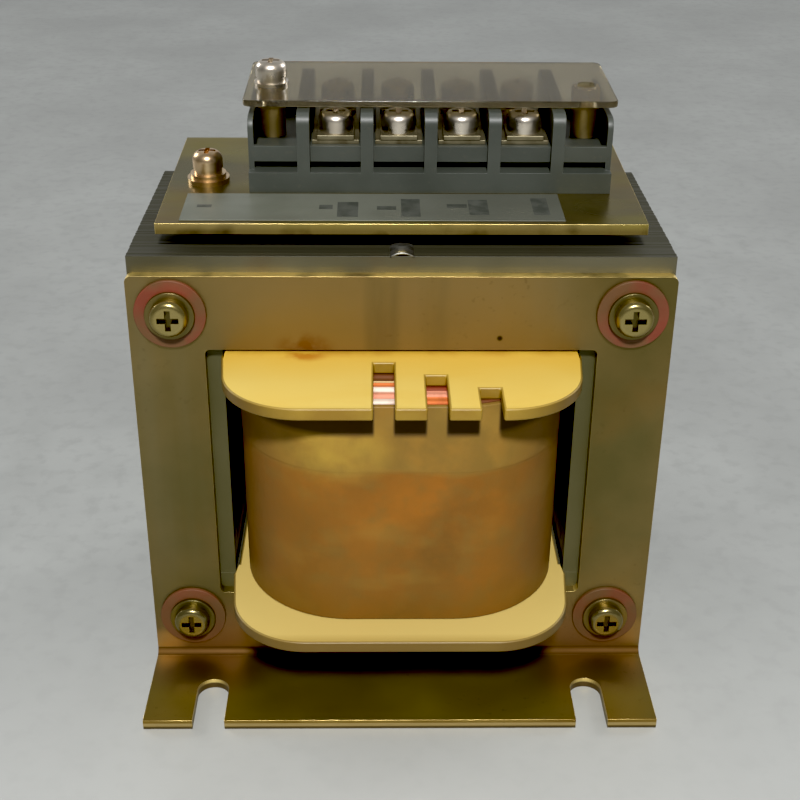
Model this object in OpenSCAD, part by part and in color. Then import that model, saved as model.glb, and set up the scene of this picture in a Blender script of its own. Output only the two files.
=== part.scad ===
// Bolted control transformer with an EI core, standing on two foot brackets.
// A shelf above the core carries a barrier terminal block under a clear cover.
// Millimetres, +Z up, front towards -Y. Origin: centre of the core in plan, on the mounting plane.

/* [Core] */
// Width of the lamination stack
core_w = 96; // [90:1:110]
// Height of the lamination stack
core_h = 83; // [77:1:96]
// Depth of the stack, from the first sheet to the last
stack_d = 48; // [36:1:64]
// Width of each outer leg
leg_w = 16; // [14:0.5:18]
// Height of the top and bottom yokes
yoke_h = 16.9; // [15:0.1:19]
// Width of the wound centre leg
tongue_w = 32; // [28:0.5:36]
// Clear height of the core above the mounting plane
core_lift = 2.9; // [2.6:0.1:6]
// Width of a weld bead across the stack
weld_w = 4.2; // [3:0.1:5]
// Height of a weld bead
weld_h = 0.7; // [0.4:0.1:1]

/* [Clamping] */
// Distance of a bolt axis from the side of the core
bolt_inset_x = 7.4; // [7:0.1:9]
// Distance of an upper bolt axis from the top of the core
bolt_inset_top = 9.9; // [9:0.1:10.4]
// Distance of a lower bolt axis from the bottom of the core
bolt_inset_low = 8.4; // [7.6:0.1:10.4]
// Thread diameter of the clamp bolts
bolt_d = 4; // [3:0.5:5]
// Diameter of the pan heads
bolt_head_d = 6.8; // [6.5:0.1:8.5]
// Height of the pan heads
bolt_head_h = 2; // [1.6:0.1:4]
// Length of the clamp bolts under the head
bolt_l = 64; // [62:1:90]
// Wall of the insulating sleeves on the bolts
sleeve_wall = 0.7; // [0.5:0.1:1]
// Outside diameter of the fibre washers
fibre_d = 12.7; // [11:0.1:13]
// Thickness of the fibre washers
fibre_t = 0.8; // [0.5:0.1:1.5]
// Outside diameter of the steel washers
washer_d = 8.8; // [8.5:0.1:10]
// Thickness of the steel washers
washer_t = 0.8; // [0.5:0.1:1.2]
// Thickness of the lock washers
lock_t = 1; // [0.8:0.1:1.4]
// Width across flats of the clamp nuts
nut_af = 7; // [6.5:0.5:8]
// Height of the clamp nuts
nut_h = 3.2; // [2.4:0.1:4]

/* [Brackets] */
// Thickness of the bracket and shelf sheet
sheet_t = 2; // [1.5:0.1:2.5]
// Overhang of the brackets past each side of the core
bracket_over = 0.2; // [0:0.1:2]
// Distance of the bracket top below the core top
bracket_drop = 3; // [1:0.1:4]
// Width of each core leg that shows in the bracket window
leg_show = 3; // [0.5:0.1:3.5]
// Height of the window sill above the mounting plane
window_sill = 16.5; // [15:0.1:17.5]
// Height of the bar above the window
window_head = 14; // [13:0.1:15]
// Length of the foot in front of the bracket face
foot_l = 20.6; // [18:0.1:26]
// Inside radius of the foot bend
foot_bend_r = 1.5; // [1:0.1:2.5]
// Width of the open mounting slots
slot_w = 6; // [5:0.1:7]
// Depth of the open mounting slots
slot_depth = 12; // [9:0.1:14]
// Distance of a slot from the side of the bracket
slot_inset = 12.2; // [8:0.1:20]

/* [Bobbin] */
// Wall of the bobbin tube
bobbin_wall = 1.5; // [1:0.1:2]
// Thickness of the flanges
flange_t = 2.2; // [1.5:0.1:2.8]
// Reach of the upper flange in front of and behind the core
upper_reach = 23.8; // [22:0.1:26]
// Reach of the lower flange in front of and behind the core
lower_reach = 25.2; // [22:0.1:28]
// Corner radius of the flanges
flange_r = 14; // [8:0.5:18]
// Play between a flange and the core legs, on each side
flange_play = 0.8; // [0.3:0.1:1]
// Extra width of a flange on each side, where it leaves the core
flange_flare = 1.1; // [0.2:0.1:1.5]
// Play between the bobbin tube and the wound leg, on each side
tube_play = 0.3; // [0.2:0.05:0.5]
// Play above the bobbin in the core window
bobbin_headroom = 0.6; // [0.4:0.1:1.5]
// Width of the lead slots in the upper flange
lead_slot_w = 3.6; // [2.5:0.1:5]
// Distance between neighbouring lead slots
lead_slot_pitch = 9; // [7:0.1:11]
// Place of the first lead slot, from the middle
lead_slot_x = -3.2; // [-8:0.1:2]
// Depth of the deepest lead slot
lead_slot_depth = 17.6; // [14:0.1:19]
// Step in depth from one lead slot to the next
lead_slot_step = 4.9; // [3:0.1:5.5]

/* [Windings] */
// Distance of the coil from the flange edge at the sides
coil_margin_x = 1.9; // [1:0.1:4]
// Distance of the coil from the lower flange edge at the front and rear
coil_margin_y = 6.8; // [4:0.1:9]
// Corner radius of the finished coil
coil_r = 20; // [14:0.5:24]
// Thickness of the outer paper wrap
wrap_t = 1; // [0.6:0.1:1.6]
// Thickness of the insulation between the windings
insulation_t = 0.6; // [0.4:0.1:1]
// Share of the build taken by the inner winding
inner_share = 0.45; // [0.35:0.05:0.6]

/* [Shelf] */
// Distance of the shelf's sides inside the sides of the core
shelf_inset = 5; // [3:0.1:7]
// Gap between the core and the front edge of the shelf
shelf_gap = 2.9; // [2.5:0.1:6]
// Setback of the shelf edge from the front of the core
shelf_setback = 2.8; // [0:0.1:5]
// Droop of the shelf towards the front, in degrees
shelf_droop = 2.5; // [0:0.1:4]
// Inside radius of the shelf bend
shelf_bend_r = 2; // [1:0.1:3]
// Reach of the shelf's rear leg below the bolt axis
shelf_leg_below = 6.6; // [5.5:0.1:7]
// Length of the bare label
label_l = 67.5; // [50:0.5:75]
// Depth of the bare label
label_d = 12.8; // [8:0.1:13]
// Thickness of the bare label
label_t = 0.2; // [0.1:0.05:0.4]
// Distance of the label from the left side of the shelf
label_inset = 4.1; // [1:0.1:14]
// Setback of the label from the shelf edge
label_setback = 1.2; // [0.5:0.1:1.6]

/* [Terminal block] */
// Number of terminals
poles = 4; // [2:1:4]
// Distance between neighbouring terminals
pole_pitch = 11.5; // [10.8:0.1:12]
// Thickness of the barriers
barrier_t = 2.3; // [1.5:0.1:2.5]
// Height of the barriers above the shelf
barrier_h = 14.7; // [14:0.1:18]
// Height of the terminal floors
floor_h = 8.3; // [7.5:0.1:9]
// Height of the ledge along the front and rear
ledge_h = 3.9; // [2.5:0.1:5]
// Depth of the block
block_d = 28; // [26:0.1:29]
// Setback of the terminal floors from the ledge face
floor_setback = 1.8; // [1:0.1:2.5]
// Height of the groove between the ledge and the terminal floors
groove_h = 1.5; // [0.8:0.1:2]
// Depth of that groove
groove_d = 1.6; // [0.8:0.1:2]
// Length of each end station
end_l = 8.9; // [8.6:0.1:9.5]
// Height of the floor of the end stations
end_floor_h = 6.6; // [5:0.1:7.5]
// Thickness of the outer walls and lips of the end stations
end_wall_t = 1; // [0.8:0.1:1.2]
// Height of the outer walls of the end stations
end_wall_h = 13.4; // [9:0.1:14]
// Place of the middle of the block
block_x = 5.3; // [0:0.1:6]
// Setback of the block from the shelf edge
block_setback = 14.7; // [14.6:0.1:15.5]
// Distance of a terminal screw from the block face
screw_inset = 6.2; // [6:0.1:8]
// Setback of the terminal bars from the floor edge
bar_setback = 1.2; // [0:0.1:2]
// Width of the terminal bars
bar_w = 8.6; // [7.8:0.1:9]
// Thickness of the terminal bars
bar_t = 0.8; // [0.6:0.1:1.2]
// Thread diameter of the terminal screws
terminal_d = 3.5; // [3:0.5:4]
// Diameter of the terminal screw heads
terminal_head_d = 6.4; // [6:0.1:7.4]
// Height of the terminal screw heads
terminal_head_h = 2.6; // [2:0.1:2.8]
// Size of the square pressure washers
square_washer = 6.8; // [6.5:0.1:7.6]
// Thickness of the square pressure washers
square_washer_t = 0.9; // [0.6:0.1:1]

/* [Cover and posts] */
// Width across flats of the hexagonal posts
post_af = 5; // [4.5:0.1:5.2]
// Height of the hexagonal top of a post
post_hex_h = 3; // [2.5:0.1:5]
// Diameter of the round foot of a post
post_d = 4.8; // [4:0.1:5]
// Distance of a post from the end of the block
post_inset = 3.7; // [3.6:0.1:4.5]
// Thread diameter of the posts
post_thread = 3; // [2.5:0.5:3]
// Clearance between the cover and the barriers
cover_gap = 0.3; // [0.1:0.1:1]
// Overhang of the cover past each end of the block
cover_over = 0.9; // [0:0.1:2]
// Depth of the cover
cover_d = 25.7; // [22:0.1:27]
// Setback of the cover from the front of the block
cover_setback = 3.5; // [1:0.1:5]
// Thickness of the cover
cover_t = 1.2; // [0.8:0.1:2]
// Diameter of the cover screw head
cover_head_d = 5.8; // [5:0.1:7]
// Height of the cover screw head
cover_head_h = 2.8; // [2:0.1:3]

/* [Earth screw] */
// Distance of the earth screw from the left side of the shelf
earth_inset = 7.1; // [5:0.1:9]
// Setback of the earth screw from the shelf edge
earth_setback = 21.4; // [20:0.1:30]
// Thread diameter of the earth screw
earth_d = 4; // [3:0.5:4]
// Diameter of the earth screw head
earth_head_d = 5.6; // [5.4:0.1:8]
// Height of the earth screw head
earth_head_h = 3.2; // [2.4:0.1:4]
// Diameter of the earth washer on the shelf
earth_washer_d = 7.8; // [7:0.1:9]
// Diameter of the washer under the earth screw's lock washer
earth_clamp_d = 6.6; // [6:0.1:8]

/* [Hidden] */
$fn = 64;
eps = 0.01;
through = 1;

// Colours
ZINC = [0.50, 0.44, 0.20];
STEEL = [0.30, 0.30, 0.25];
WELD = [0.55, 0.55, 0.52];
IVORY = [0.92, 0.79, 0.42];
COPPER = [0.72, 0.38, 0.20];
KRAFT = [0.60, 0.43, 0.17];
FIBRE = [0.62, 0.16, 0.12];
SLEEVE = [0.80, 0.72, 0.50];
CHARCOAL = [0.22, 0.23, 0.22];
NICKEL = [0.78, 0.76, 0.72];
BRASS = [0.72, 0.60, 0.28];
SMOKE = [0.45, 0.44, 0.36, 0.5];
LABEL = [0.52, 0.54, 0.50];

// Core
core_top = core_lift + core_h;
core_front = -stack_d / 2;
core_back = stack_d / 2;
joint_z = core_lift + yoke_h;
core_window_h = core_h - 2 * yoke_h;
core_window_x = core_w / 2 - leg_w;
weld_arc_r = weld_w * weld_w / (8 * weld_h) + weld_h / 2;

// Clamp bolts
bolt_x = core_w / 2 - bolt_inset_x;
bolt_low = core_lift + bolt_inset_low;
bolt_high = core_top - bolt_inset_top;
bolt_play = 0.15;
sleeve_id = bolt_d + 2 * bolt_play;
sleeve_od = sleeve_id + 2 * sleeve_wall;
bolt_hole = sleeve_od + 2 * bolt_play;
face_front = core_front - sheet_t;
face_back = core_back + sheet_t;
head_seat = face_front - fibre_t - washer_t;
lock_margin = 0.2;
lock_split = 15;
lock_split_at = 100;
pan_margin = 0.3;

// Brackets
bracket_w = core_w + 2 * bracket_over;
window_w = 2 * (core_window_x + leg_show);
slot_x = bracket_w / 2 - slot_inset;
bracket_top = core_top - bracket_drop;
window_top = bracket_top - window_head;
foot_bend_out = foot_bend_r + sheet_t;
plate_corner_r = 1.2;
window_corner_r = 1;

// Bobbin and windings, as half sizes of rounded rectangles
tube_in = [tongue_w / 2 + tube_play, stack_d / 2 + tube_play];
tube_out = [tube_in[0] + bobbin_wall, tube_in[1] + bobbin_wall];
tube_r = 2;
flange_x = core_window_x - flange_play;
flare_at = [flange_x + flange_flare, stack_d / 2 + tube_play];
upper_half = [flange_x, stack_d / 2 + upper_reach];
lower_half = [flange_x, stack_d / 2 + lower_reach];
bobbin_h = core_window_h - bobbin_headroom;
bobbin_top = joint_z + bobbin_h;
coil_play = 0.1;
coil_h = bobbin_h - 2 * flange_t - 2 * coil_play;
coil_z = joint_z + flange_t + coil_play;
coil_half = [lower_half[0] - coil_margin_x, lower_half[1] - coil_margin_y];
winding_half = [coil_half[0] - wrap_t, coil_half[1] - wrap_t];
build = [winding_half[0] - tube_out[0], winding_half[1] - tube_out[1]];
inner_half = [tube_out[0] + inner_share * build[0], tube_out[1] + inner_share * build[1]];
sheath_half = [inner_half[0] + insulation_t, inner_half[1] + insulation_t];
winding_r = coil_r - wrap_t;
inner_r = tube_r + inner_share * (winding_r - tube_r);

// Shelf: the leg stands on the rear bracket, the top runs forward and droops a little
shelf_w = core_w - 2 * shelf_inset;
shelf_front = core_front + shelf_setback;
shelf_top = core_top + shelf_gap + sheet_t;
shelf_bend_out = shelf_bend_r + sheet_t;
leg_back = face_back + sheet_t;
bend_y = leg_back - shelf_bend_out;
shelf_run = bend_y - shelf_bend_out * sin(shelf_droop) - shelf_front;
shelf_l = shelf_run / cos(shelf_droop);
bend_z = shelf_top + shelf_run * tan(shelf_droop) - shelf_bend_out * cos(shelf_droop);
leg_low = bolt_high - shelf_leg_below;

// Terminal block, measured on the shelf
block_l = poles * pole_pitch + barrier_t + 2 * end_l;
block_mid = block_setback + block_d / 2;
pole_xs = [for (k = [0 : poles - 1]) block_x + (k - (poles - 1) / 2) * pole_pitch];
barrier_xs = [for (k = [0 : poles]) block_x + (k - poles / 2) * pole_pitch];
row_ys = [block_setback + screw_inset, block_setback + block_d - screw_inset];
barrier_r = 2;
floor_d = block_d - 2 * floor_setback;
end_xs = [block_x - block_l / 2, block_x + block_l / 2 - end_l];
wall_xs = [for (s = [-1, 1]) block_x + s * (block_l - end_wall_t) / 2];
groove_ys = [block_setback + floor_setback, block_setback + block_d - floor_setback - groove_d];
bar_l = floor_d - 2 * bar_setback;
bar_top = floor_h + bar_t;
terminal_seat = bar_top + square_washer_t + lock_t;
pocket_play = 0.4;
terminal_l = terminal_seat - ledge_h - pocket_play;

// Posts, cover and their screws
post_xs = [for (s = [-1, 1]) block_x + s * (block_l / 2 - post_inset)];
post_top = barrier_h + cover_gap;
post_hole = post_thread + pocket_play;
post_nut_h = 2.2;
post_nut_af = 5.5;
post_stud_end = 0.5;
cover_l = block_l + 2 * cover_over;
cover_z = post_top;
cover_corner_r = 1.5;
cover_washer_t = 0.6;
cover_seat = cover_z + cover_t + cover_washer_t + lock_t;
cover_screw_l = cover_seat - cover_z + post_hex_h - pocket_play;
cover_washer_d = cover_head_d + 2 * pan_margin;

// Earth screw
earth_x = -shelf_w / 2 + earth_inset;
earth_seat = 2 * washer_t + lock_t;
earth_end = 0.8;

// Plain washer, sleeve or ring
module ring(outer_d, inner_d, t) {
    difference() {
        cylinder(d = outer_d, h = t);
        translate([0, 0, -through]) cylinder(d = inner_d, h = t + 2 * through);
    }
}

// Lock washer with its split
module split_ring(outer_d, inner_d, t) {
    rotate(lock_split_at) rotate_extrude(angle = 360 - lock_split) translate([inner_d / 2, 0])
        square([(outer_d - inner_d) / 2, t]);
}

// Hexagonal nut with its bore
module hex_nut(af, bore, h) {
    difference() {
        cylinder(d = af / cos(30), h = h, $fn = 6);
        translate([0, 0, -through]) cylinder(d = bore, h = h + 2 * through);
    }
}

// Pan-head screw with a cross recess: head above zero, shank below
module pan_screw(d, head_d, head_h, l) {
    edge = head_h * 0.55;
    recess_l = head_d * 0.56;
    recess_w = head_d * 0.15;
    recess_h = head_h * 0.5;
    difference() {
        union() {
            rotate_extrude() {
                square([head_d / 2 - edge, head_h]);
                square([head_d / 2, head_h - edge]);
                translate([head_d / 2 - edge, head_h - edge]) intersection() {
                    circle(r = edge);
                    square(edge);
                }
            }
            translate([0, 0, -l]) cylinder(d = d, h = l + eps);
        }
        for (a = [0, 90]) rotate(a)
            translate([-recess_l / 2, -recess_w / 2, head_h - recess_h])
                cube([recess_l, recess_w, head_h]);
    }
}

// Plan of a rounded rectangle given by its half sizes
module rounded(half, r) {
    square([2 * half[0], 2 * (half[1] - r)], center = true);
    square([2 * (half[0] - r), 2 * half[1]], center = true);
    for (x = [-1, 1], y = [-1, 1])
        translate([x * (half[0] - r), y * (half[1] - r)]) circle(r = r);
}

// One layer of the coil between two rounded outlines
module coil_layer(outer_half, outer_r, inner_half, inner_r) {
    translate([0, 0, coil_z]) linear_extrude(coil_h) difference() {
        rounded(outer_half, outer_r);
        rounded(inner_half, inner_r);
    }
}

// Puts a shape drawn in the X-Z plane upright and gives it a depth from y
module upright(y, depth) {
    translate([0, y + depth, 0]) rotate([90, 0, 0]) linear_extrude(depth) children();
}

// Puts a shape drawn in the Y-Z plane upright and gives it a width
module sideways(width) {
    translate([-width / 2, 0, 0]) rotate([90, 0, 90]) linear_extrude(width) children();
}

// Quarter or more of a sheet bend, from one angle to the other
module bend_profile(inner_r, from, to) {
    outer_r = inner_r + sheet_t;
    reach = 2 * outer_r;
    mid = (from + to) / 2;
    intersection() {
        difference() {
            circle(r = outer_r);
            circle(r = inner_r);
        }
        polygon([
            [0, 0],
            reach * [cos(from), sin(from)],
            reach * [cos(mid), sin(mid)],
            reach * [cos(to), sin(to)]
        ]);
    }
}

// Repeats a piece at the four clamp bolts
module at_bolts() {
    for (x = [-bolt_x, bolt_x], z = [bolt_low, bolt_high])
        translate([x, 0, z]) children();
}

// Repeats a piece behind the rear bracket; the upper two sit on the shelf leg
module at_rear_seats(offset) {
    for (x = [-bolt_x, bolt_x])
        for (seat = [[bolt_low, face_back], [bolt_high, leg_back]])
            translate([x, seat[1] + offset, seat[0]]) rotate([-90, 0, 0]) children();
}

// Holes of the clamp bolts, as a flat shape in the X-Z plane
module bolt_holes() {
    for (x = [-bolt_x, bolt_x], z = [bolt_low, bolt_high])
        translate([x, z]) circle(d = bolt_hole);
}

// Frame of the shelf: x across, y back along the shelf, z up from its top face
module on_shelf() {
    translate([0, shelf_front, shelf_top]) rotate([shelf_droop, 0, 0]) children();
}

// Repeats a piece at every terminal screw
module at_terminals(z) {
    for (x = pole_xs, y = row_ys)
        translate([x, y, z]) children();
}

module e_laminations() color(STEEL)
    upright(core_front, stack_d) difference() {
        translate([-core_w / 2, joint_z]) square([core_w, core_h - yoke_h]);
        for (s = [-1, 1])
            translate([s * (tongue_w / 2 + core_window_x) / 2, joint_z])
                square([core_window_x - tongue_w / 2, 2 * core_window_h], center = true);
        bolt_holes();
    }

module i_laminations() color(STEEL)
    upright(core_front, stack_d) difference() {
        translate([-core_w / 2, core_lift]) square([core_w, yoke_h]);
        bolt_holes();
    }

// A flat-backed bead along the stack, lying on the plane z = 0
module weld_bead() {
    intersection() {
        translate([0, core_front, weld_h - weld_arc_r]) rotate([-90, 0, 0])
            cylinder(r = weld_arc_r, h = stack_d);
        translate([-weld_w, core_front - through, 0])
            cube([2 * weld_w, stack_d + 2 * through, weld_h + through]);
    }
}

module weld_beads() color(WELD) {
    translate([0, 0, core_top]) weld_bead();
    for (s = [-1, 1])
        translate([s * core_w / 2, 0, joint_z]) rotate([0, s * 90, 0]) weld_bead();
}

module bobbin() color(IVORY) {
    difference() {
        union() {
            translate([0, 0, joint_z]) linear_extrude(flange_t) flange_plan(lower_half);
            translate([0, 0, bobbin_top - flange_t]) linear_extrude(flange_t)
                flange_plan(upper_half);
            translate([0, 0, joint_z]) linear_extrude(bobbin_h) rounded(tube_out, tube_r);
        }
        translate([-tube_in[0], -tube_in[1], joint_z - through])
            cube([2 * tube_in[0], 2 * tube_in[1], bobbin_h + 2 * through]);
        for (k = [0 : 2])
            lead_slot(lead_slot_x + k * lead_slot_pitch, lead_slot_depth - k * lead_slot_step);
    }
}

// Plan of a flange: narrow between the core legs, flared in front of and behind them
module flange_plan(half) {
    corner = [half[0] - flange_r, half[1] - flange_r];
    to_flare = flare_at - corner;
    touch_at = atan2(to_flare[1], to_flare[0]) + acos(flange_r / norm(to_flare));
    touch = corner + flange_r * [cos(touch_at), sin(touch_at)];
    square([2 * half[0], 2 * corner[1]], center = true);
    for (y = [0, 1]) mirror([0, y]) {
        polygon([
            [-flare_at[0], flare_at[1]],
            [-touch[0], touch[1]],
            [-corner[0], half[1]],
            [corner[0], half[1]],
            touch,
            flare_at
        ]);
        for (x = [-1, 1]) translate([x * corner[0], corner[1]]) circle(r = flange_r);
    }
}

// One slot from the front edge of the upper flange
module lead_slot(x, depth) {
    translate([x - lead_slot_w / 2, -upper_half[1] - through, bobbin_top - flange_t - coil_play])
        cube([lead_slot_w, depth + through, flange_t + coil_play + through]);
}

module inner_winding() color(COPPER)
    coil_layer(inner_half, inner_r, tube_out, tube_r);

module winding_insulation() color(KRAFT)
    coil_layer(sheath_half, inner_r + insulation_t, inner_half, inner_r);

module outer_winding() color(COPPER)
    coil_layer(winding_half, winding_r, sheath_half, inner_r + insulation_t);

module coil_wrap() color(KRAFT)
    coil_layer(coil_half, coil_r, winding_half, winding_r);

// Bracket in its front place: a frame round the coil with a foot bent forward
module bracket() {
    upright(face_front, sheet_t) difference() {
        union() {
            translate([-bracket_w / 2, foot_bend_out])
                square([bracket_w, bracket_top - foot_bend_out - plate_corner_r]);
            translate([-bracket_w / 2 + plate_corner_r, foot_bend_out])
                square([bracket_w - 2 * plate_corner_r, bracket_top - foot_bend_out]);
            for (s = [-1, 1])
                translate([s * (bracket_w / 2 - plate_corner_r), bracket_top - plate_corner_r])
                    circle(r = plate_corner_r);
        }
        translate([0, (window_top + window_sill) / 2])
            rounded([window_w / 2, (window_top - window_sill) / 2], window_corner_r);
        bolt_holes();
    }
    sideways(bracket_w) translate([face_front - foot_bend_r, foot_bend_out])
        bend_profile(foot_bend_r, -90, 0);
    difference() {
        translate([-bracket_w / 2, face_front - foot_l, 0])
            cube([bracket_w, foot_l - foot_bend_r, sheet_t]);
        for (s = [-1, 1]) translate([s * slot_x, face_front - foot_l, -through]) {
            translate([-slot_w / 2, -through, 0])
                cube([slot_w, slot_depth - slot_w / 2 + through, sheet_t + 2 * through]);
            translate([0, slot_depth - slot_w / 2, 0])
                cylinder(d = slot_w, h = sheet_t + 2 * through);
        }
    }
}

module front_bracket() color(ZINC) bracket();

module rear_bracket() color(ZINC) mirror([0, 1, 0]) bracket();

module bolt_sleeves() color(SLEEVE)
    for (x = [-bolt_x, bolt_x])
        for (seat = [[bolt_low, face_back], [bolt_high, leg_back]])
            translate([x, face_front, seat[0]]) rotate([-90, 0, 0])
                ring(sleeve_od, sleeve_id, seat[1] - face_front);

module clamp_bolts() color(ZINC)
    at_bolts() translate([0, head_seat, 0]) rotate([90, 0, 0])
        pan_screw(bolt_d, bolt_head_d, bolt_head_h, bolt_l);

module front_fibre_washers() color(FIBRE)
    at_bolts() translate([0, face_front - fibre_t, 0]) rotate([-90, 0, 0])
        ring(fibre_d, sleeve_id, fibre_t);

module front_flat_washers() color(ZINC)
    at_bolts() translate([0, head_seat, 0]) rotate([-90, 0, 0])
        ring(washer_d, sleeve_id, washer_t);

module rear_fibre_washers() color(FIBRE)
    at_rear_seats(0) ring(fibre_d, sleeve_id, fibre_t);

module rear_flat_washers() color(ZINC)
    at_rear_seats(fibre_t) ring(washer_d, sleeve_id, washer_t);

module rear_lock_washers() color(ZINC)
    at_rear_seats(fibre_t + washer_t) split_ring(nut_af, sleeve_id, lock_t);

module clamp_nuts() color(ZINC)
    at_rear_seats(fibre_t + washer_t + lock_t) hex_nut(nut_af, bolt_d, nut_h);

module terminal_shelf() color(ZINC)
    difference() {
        union() {
            on_shelf() translate([-shelf_w / 2, 0, -sheet_t]) cube([shelf_w, shelf_l, sheet_t]);
            sideways(shelf_w) translate([bend_y, bend_z])
                bend_profile(shelf_bend_r, 0, 90 + shelf_droop);
            translate([-shelf_w / 2, face_back, leg_low])
                cube([shelf_w, sheet_t, bend_z - leg_low]);
            translate([-core_w / 2, face_back, leg_low])
                cube([core_w, sheet_t, bracket_top - leg_low]);
        }
        upright(face_back - through, sheet_t + 2 * through) bolt_holes();
        on_shelf() {
            for (x = post_xs) translate([x, block_mid, -sheet_t - through])
                cylinder(d = post_hole, h = sheet_t + 2 * through);
            translate([earth_x, earth_setback, -sheet_t - through])
                cylinder(d = earth_d, h = sheet_t + 2 * through);
        }
    }

module rating_label() color(LABEL)
    on_shelf() translate([-shelf_w / 2 + label_inset, label_setback, 0])
        cube([label_l, label_d, label_t]);

// Side view of a barrier or wall, with its upper corners rounded
module barrier_profile(depth, height) {
    square([depth, height - barrier_r]);
    translate([barrier_r, 0]) square([depth - 2 * barrier_r, height]);
    for (y = [barrier_r, depth - barrier_r])
        translate([y, height - barrier_r]) circle(r = barrier_r);
}

module terminal_block() color(CHARCOAL)
    on_shelf() difference() {
        union() {
            translate([block_x - block_l / 2, block_setback, 0]) cube([block_l, block_d, ledge_h]);
            difference() {
                translate([block_x - block_l / 2, block_setback + floor_setback, 0])
                    cube([block_l, floor_d, floor_h]);
                for (x = end_xs) translate([x, block_setback + floor_setback + end_wall_t, end_floor_h])
                    cube([end_l, floor_d - 2 * end_wall_t, floor_h]);
                for (y = groove_ys) translate([block_x - block_l, y, ledge_h])
                    cube([2 * block_l, groove_d, groove_h]);
            }
            for (x = barrier_xs) translate([x, block_setback, 0])
                sideways(barrier_t) barrier_profile(block_d, barrier_h);
            for (x = wall_xs) translate([x, block_setback + floor_setback, 0])
                sideways(end_wall_t) barrier_profile(floor_d, end_wall_h);
        }
        at_terminals(ledge_h) cylinder(d = terminal_d + pocket_play, h = floor_h);
        for (x = post_xs) translate([x, block_mid, -through])
            cylinder(d = post_hole, h = barrier_h + through);
    }

module terminal_bars() color(NICKEL)
    on_shelf() difference() {
        for (x = pole_xs) translate([x - bar_w / 2, block_mid - bar_l / 2, floor_h])
            cube([bar_w, bar_l, bar_t]);
        at_terminals(floor_h - through) cylinder(d = terminal_d, h = bar_t + 2 * through);
    }

module square_washers() color(NICKEL)
    on_shelf() difference() {
        at_terminals(bar_top) translate([-square_washer / 2, -square_washer / 2, 0])
            cube([square_washer, square_washer, square_washer_t]);
        at_terminals(bar_top - through)
            cylinder(d = terminal_d + pocket_play, h = square_washer_t + 2 * through);
    }

module terminal_lock_washers() color(NICKEL)
    on_shelf() at_terminals(bar_top + square_washer_t)
        split_ring(terminal_head_d - 2 * lock_margin, terminal_d + pocket_play, lock_t);

module terminal_screws() color(NICKEL)
    on_shelf() at_terminals(terminal_seat)
        pan_screw(terminal_d, terminal_head_d, terminal_head_h, terminal_l);

// Hexagonal post with a round foot, a stud through the block and a tapped top
module cover_posts() color(BRASS)
    on_shelf() for (x = post_xs) translate([x, block_mid, 0]) difference() {
        union() {
            translate([0, 0, end_floor_h]) cylinder(d = post_d, h = post_top - end_floor_h - post_hex_h);
            translate([0, 0, post_top - post_hex_h]) rotate(30)
                cylinder(d = post_af / cos(30), h = post_hex_h, $fn = 6);
            translate([0, 0, -sheet_t - post_nut_h - post_stud_end])
                cylinder(d = post_thread, h = end_floor_h + sheet_t + post_nut_h + post_stud_end + eps);
        }
        translate([0, 0, post_top - post_hex_h]) cylinder(d = post_thread, h = post_hex_h + through);
    }

module post_nuts() color(BRASS)
    on_shelf() for (x = post_xs) translate([x, block_mid, -sheet_t - post_nut_h])
        hex_nut(post_nut_af, post_thread, post_nut_h);

module terminal_cover() color(SMOKE)
    on_shelf() difference() {
        translate([block_x, block_setback + cover_setback + cover_d / 2, cover_z])
            linear_extrude(cover_t) rounded([cover_l / 2, cover_d / 2], cover_corner_r);
        for (x = post_xs) translate([x, block_mid, cover_z - through])
            cylinder(d = post_hole, h = cover_t + 2 * through);
    }

module cover_washer() color(NICKEL)
    on_shelf() translate([post_xs[0], block_mid, cover_z + cover_t])
        ring(cover_washer_d, post_hole, cover_washer_t);

module cover_lock_washer() color(NICKEL)
    on_shelf() translate([post_xs[0], block_mid, cover_z + cover_t + cover_washer_t])
        split_ring(cover_head_d - 2 * lock_margin, post_hole, lock_t);

module cover_screw() color(NICKEL)
    on_shelf() translate([post_xs[0], block_mid, cover_seat])
        pan_screw(post_thread, cover_head_d, cover_head_h, cover_screw_l);

module earth_washer() color(BRASS)
    on_shelf() translate([earth_x, earth_setback, 0])
        ring(earth_washer_d, earth_d + pocket_play, washer_t);

module earth_clamp_washer() color(BRASS)
    on_shelf() translate([earth_x, earth_setback, washer_t])
        ring(earth_clamp_d, earth_d + pocket_play, washer_t);

module earth_lock_washer() color(BRASS)
    on_shelf() translate([earth_x, earth_setback, 2 * washer_t])
        split_ring(earth_head_d - 2 * lock_margin, earth_d + pocket_play, lock_t);

module earth_screw() color(BRASS)
    on_shelf() translate([earth_x, earth_setback, earth_seat])
        pan_screw(earth_d, earth_head_d, earth_head_h, earth_seat + sheet_t + earth_end);

e_laminations();
i_laminations();
weld_beads();
bobbin();
inner_winding();
winding_insulation();
outer_winding();
coil_wrap();
front_bracket();
rear_bracket();
bolt_sleeves();
clamp_bolts();
front_fibre_washers();
front_flat_washers();
rear_fibre_washers();
rear_flat_washers();
rear_lock_washers();
clamp_nuts();
terminal_shelf();
rating_label();
terminal_block();
terminal_bars();
square_washers();
terminal_lock_washers();
terminal_screws();
cover_posts();
post_nuts();
terminal_cover();
cover_washer();
cover_lock_washer();
cover_screw();
earth_washer();
earth_clamp_washer();
earth_lock_washer();
earth_screw();
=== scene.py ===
from math import cos, pi, radians, sin
import bmesh
import bpy
from mathutils import Matrix, Vector


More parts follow.
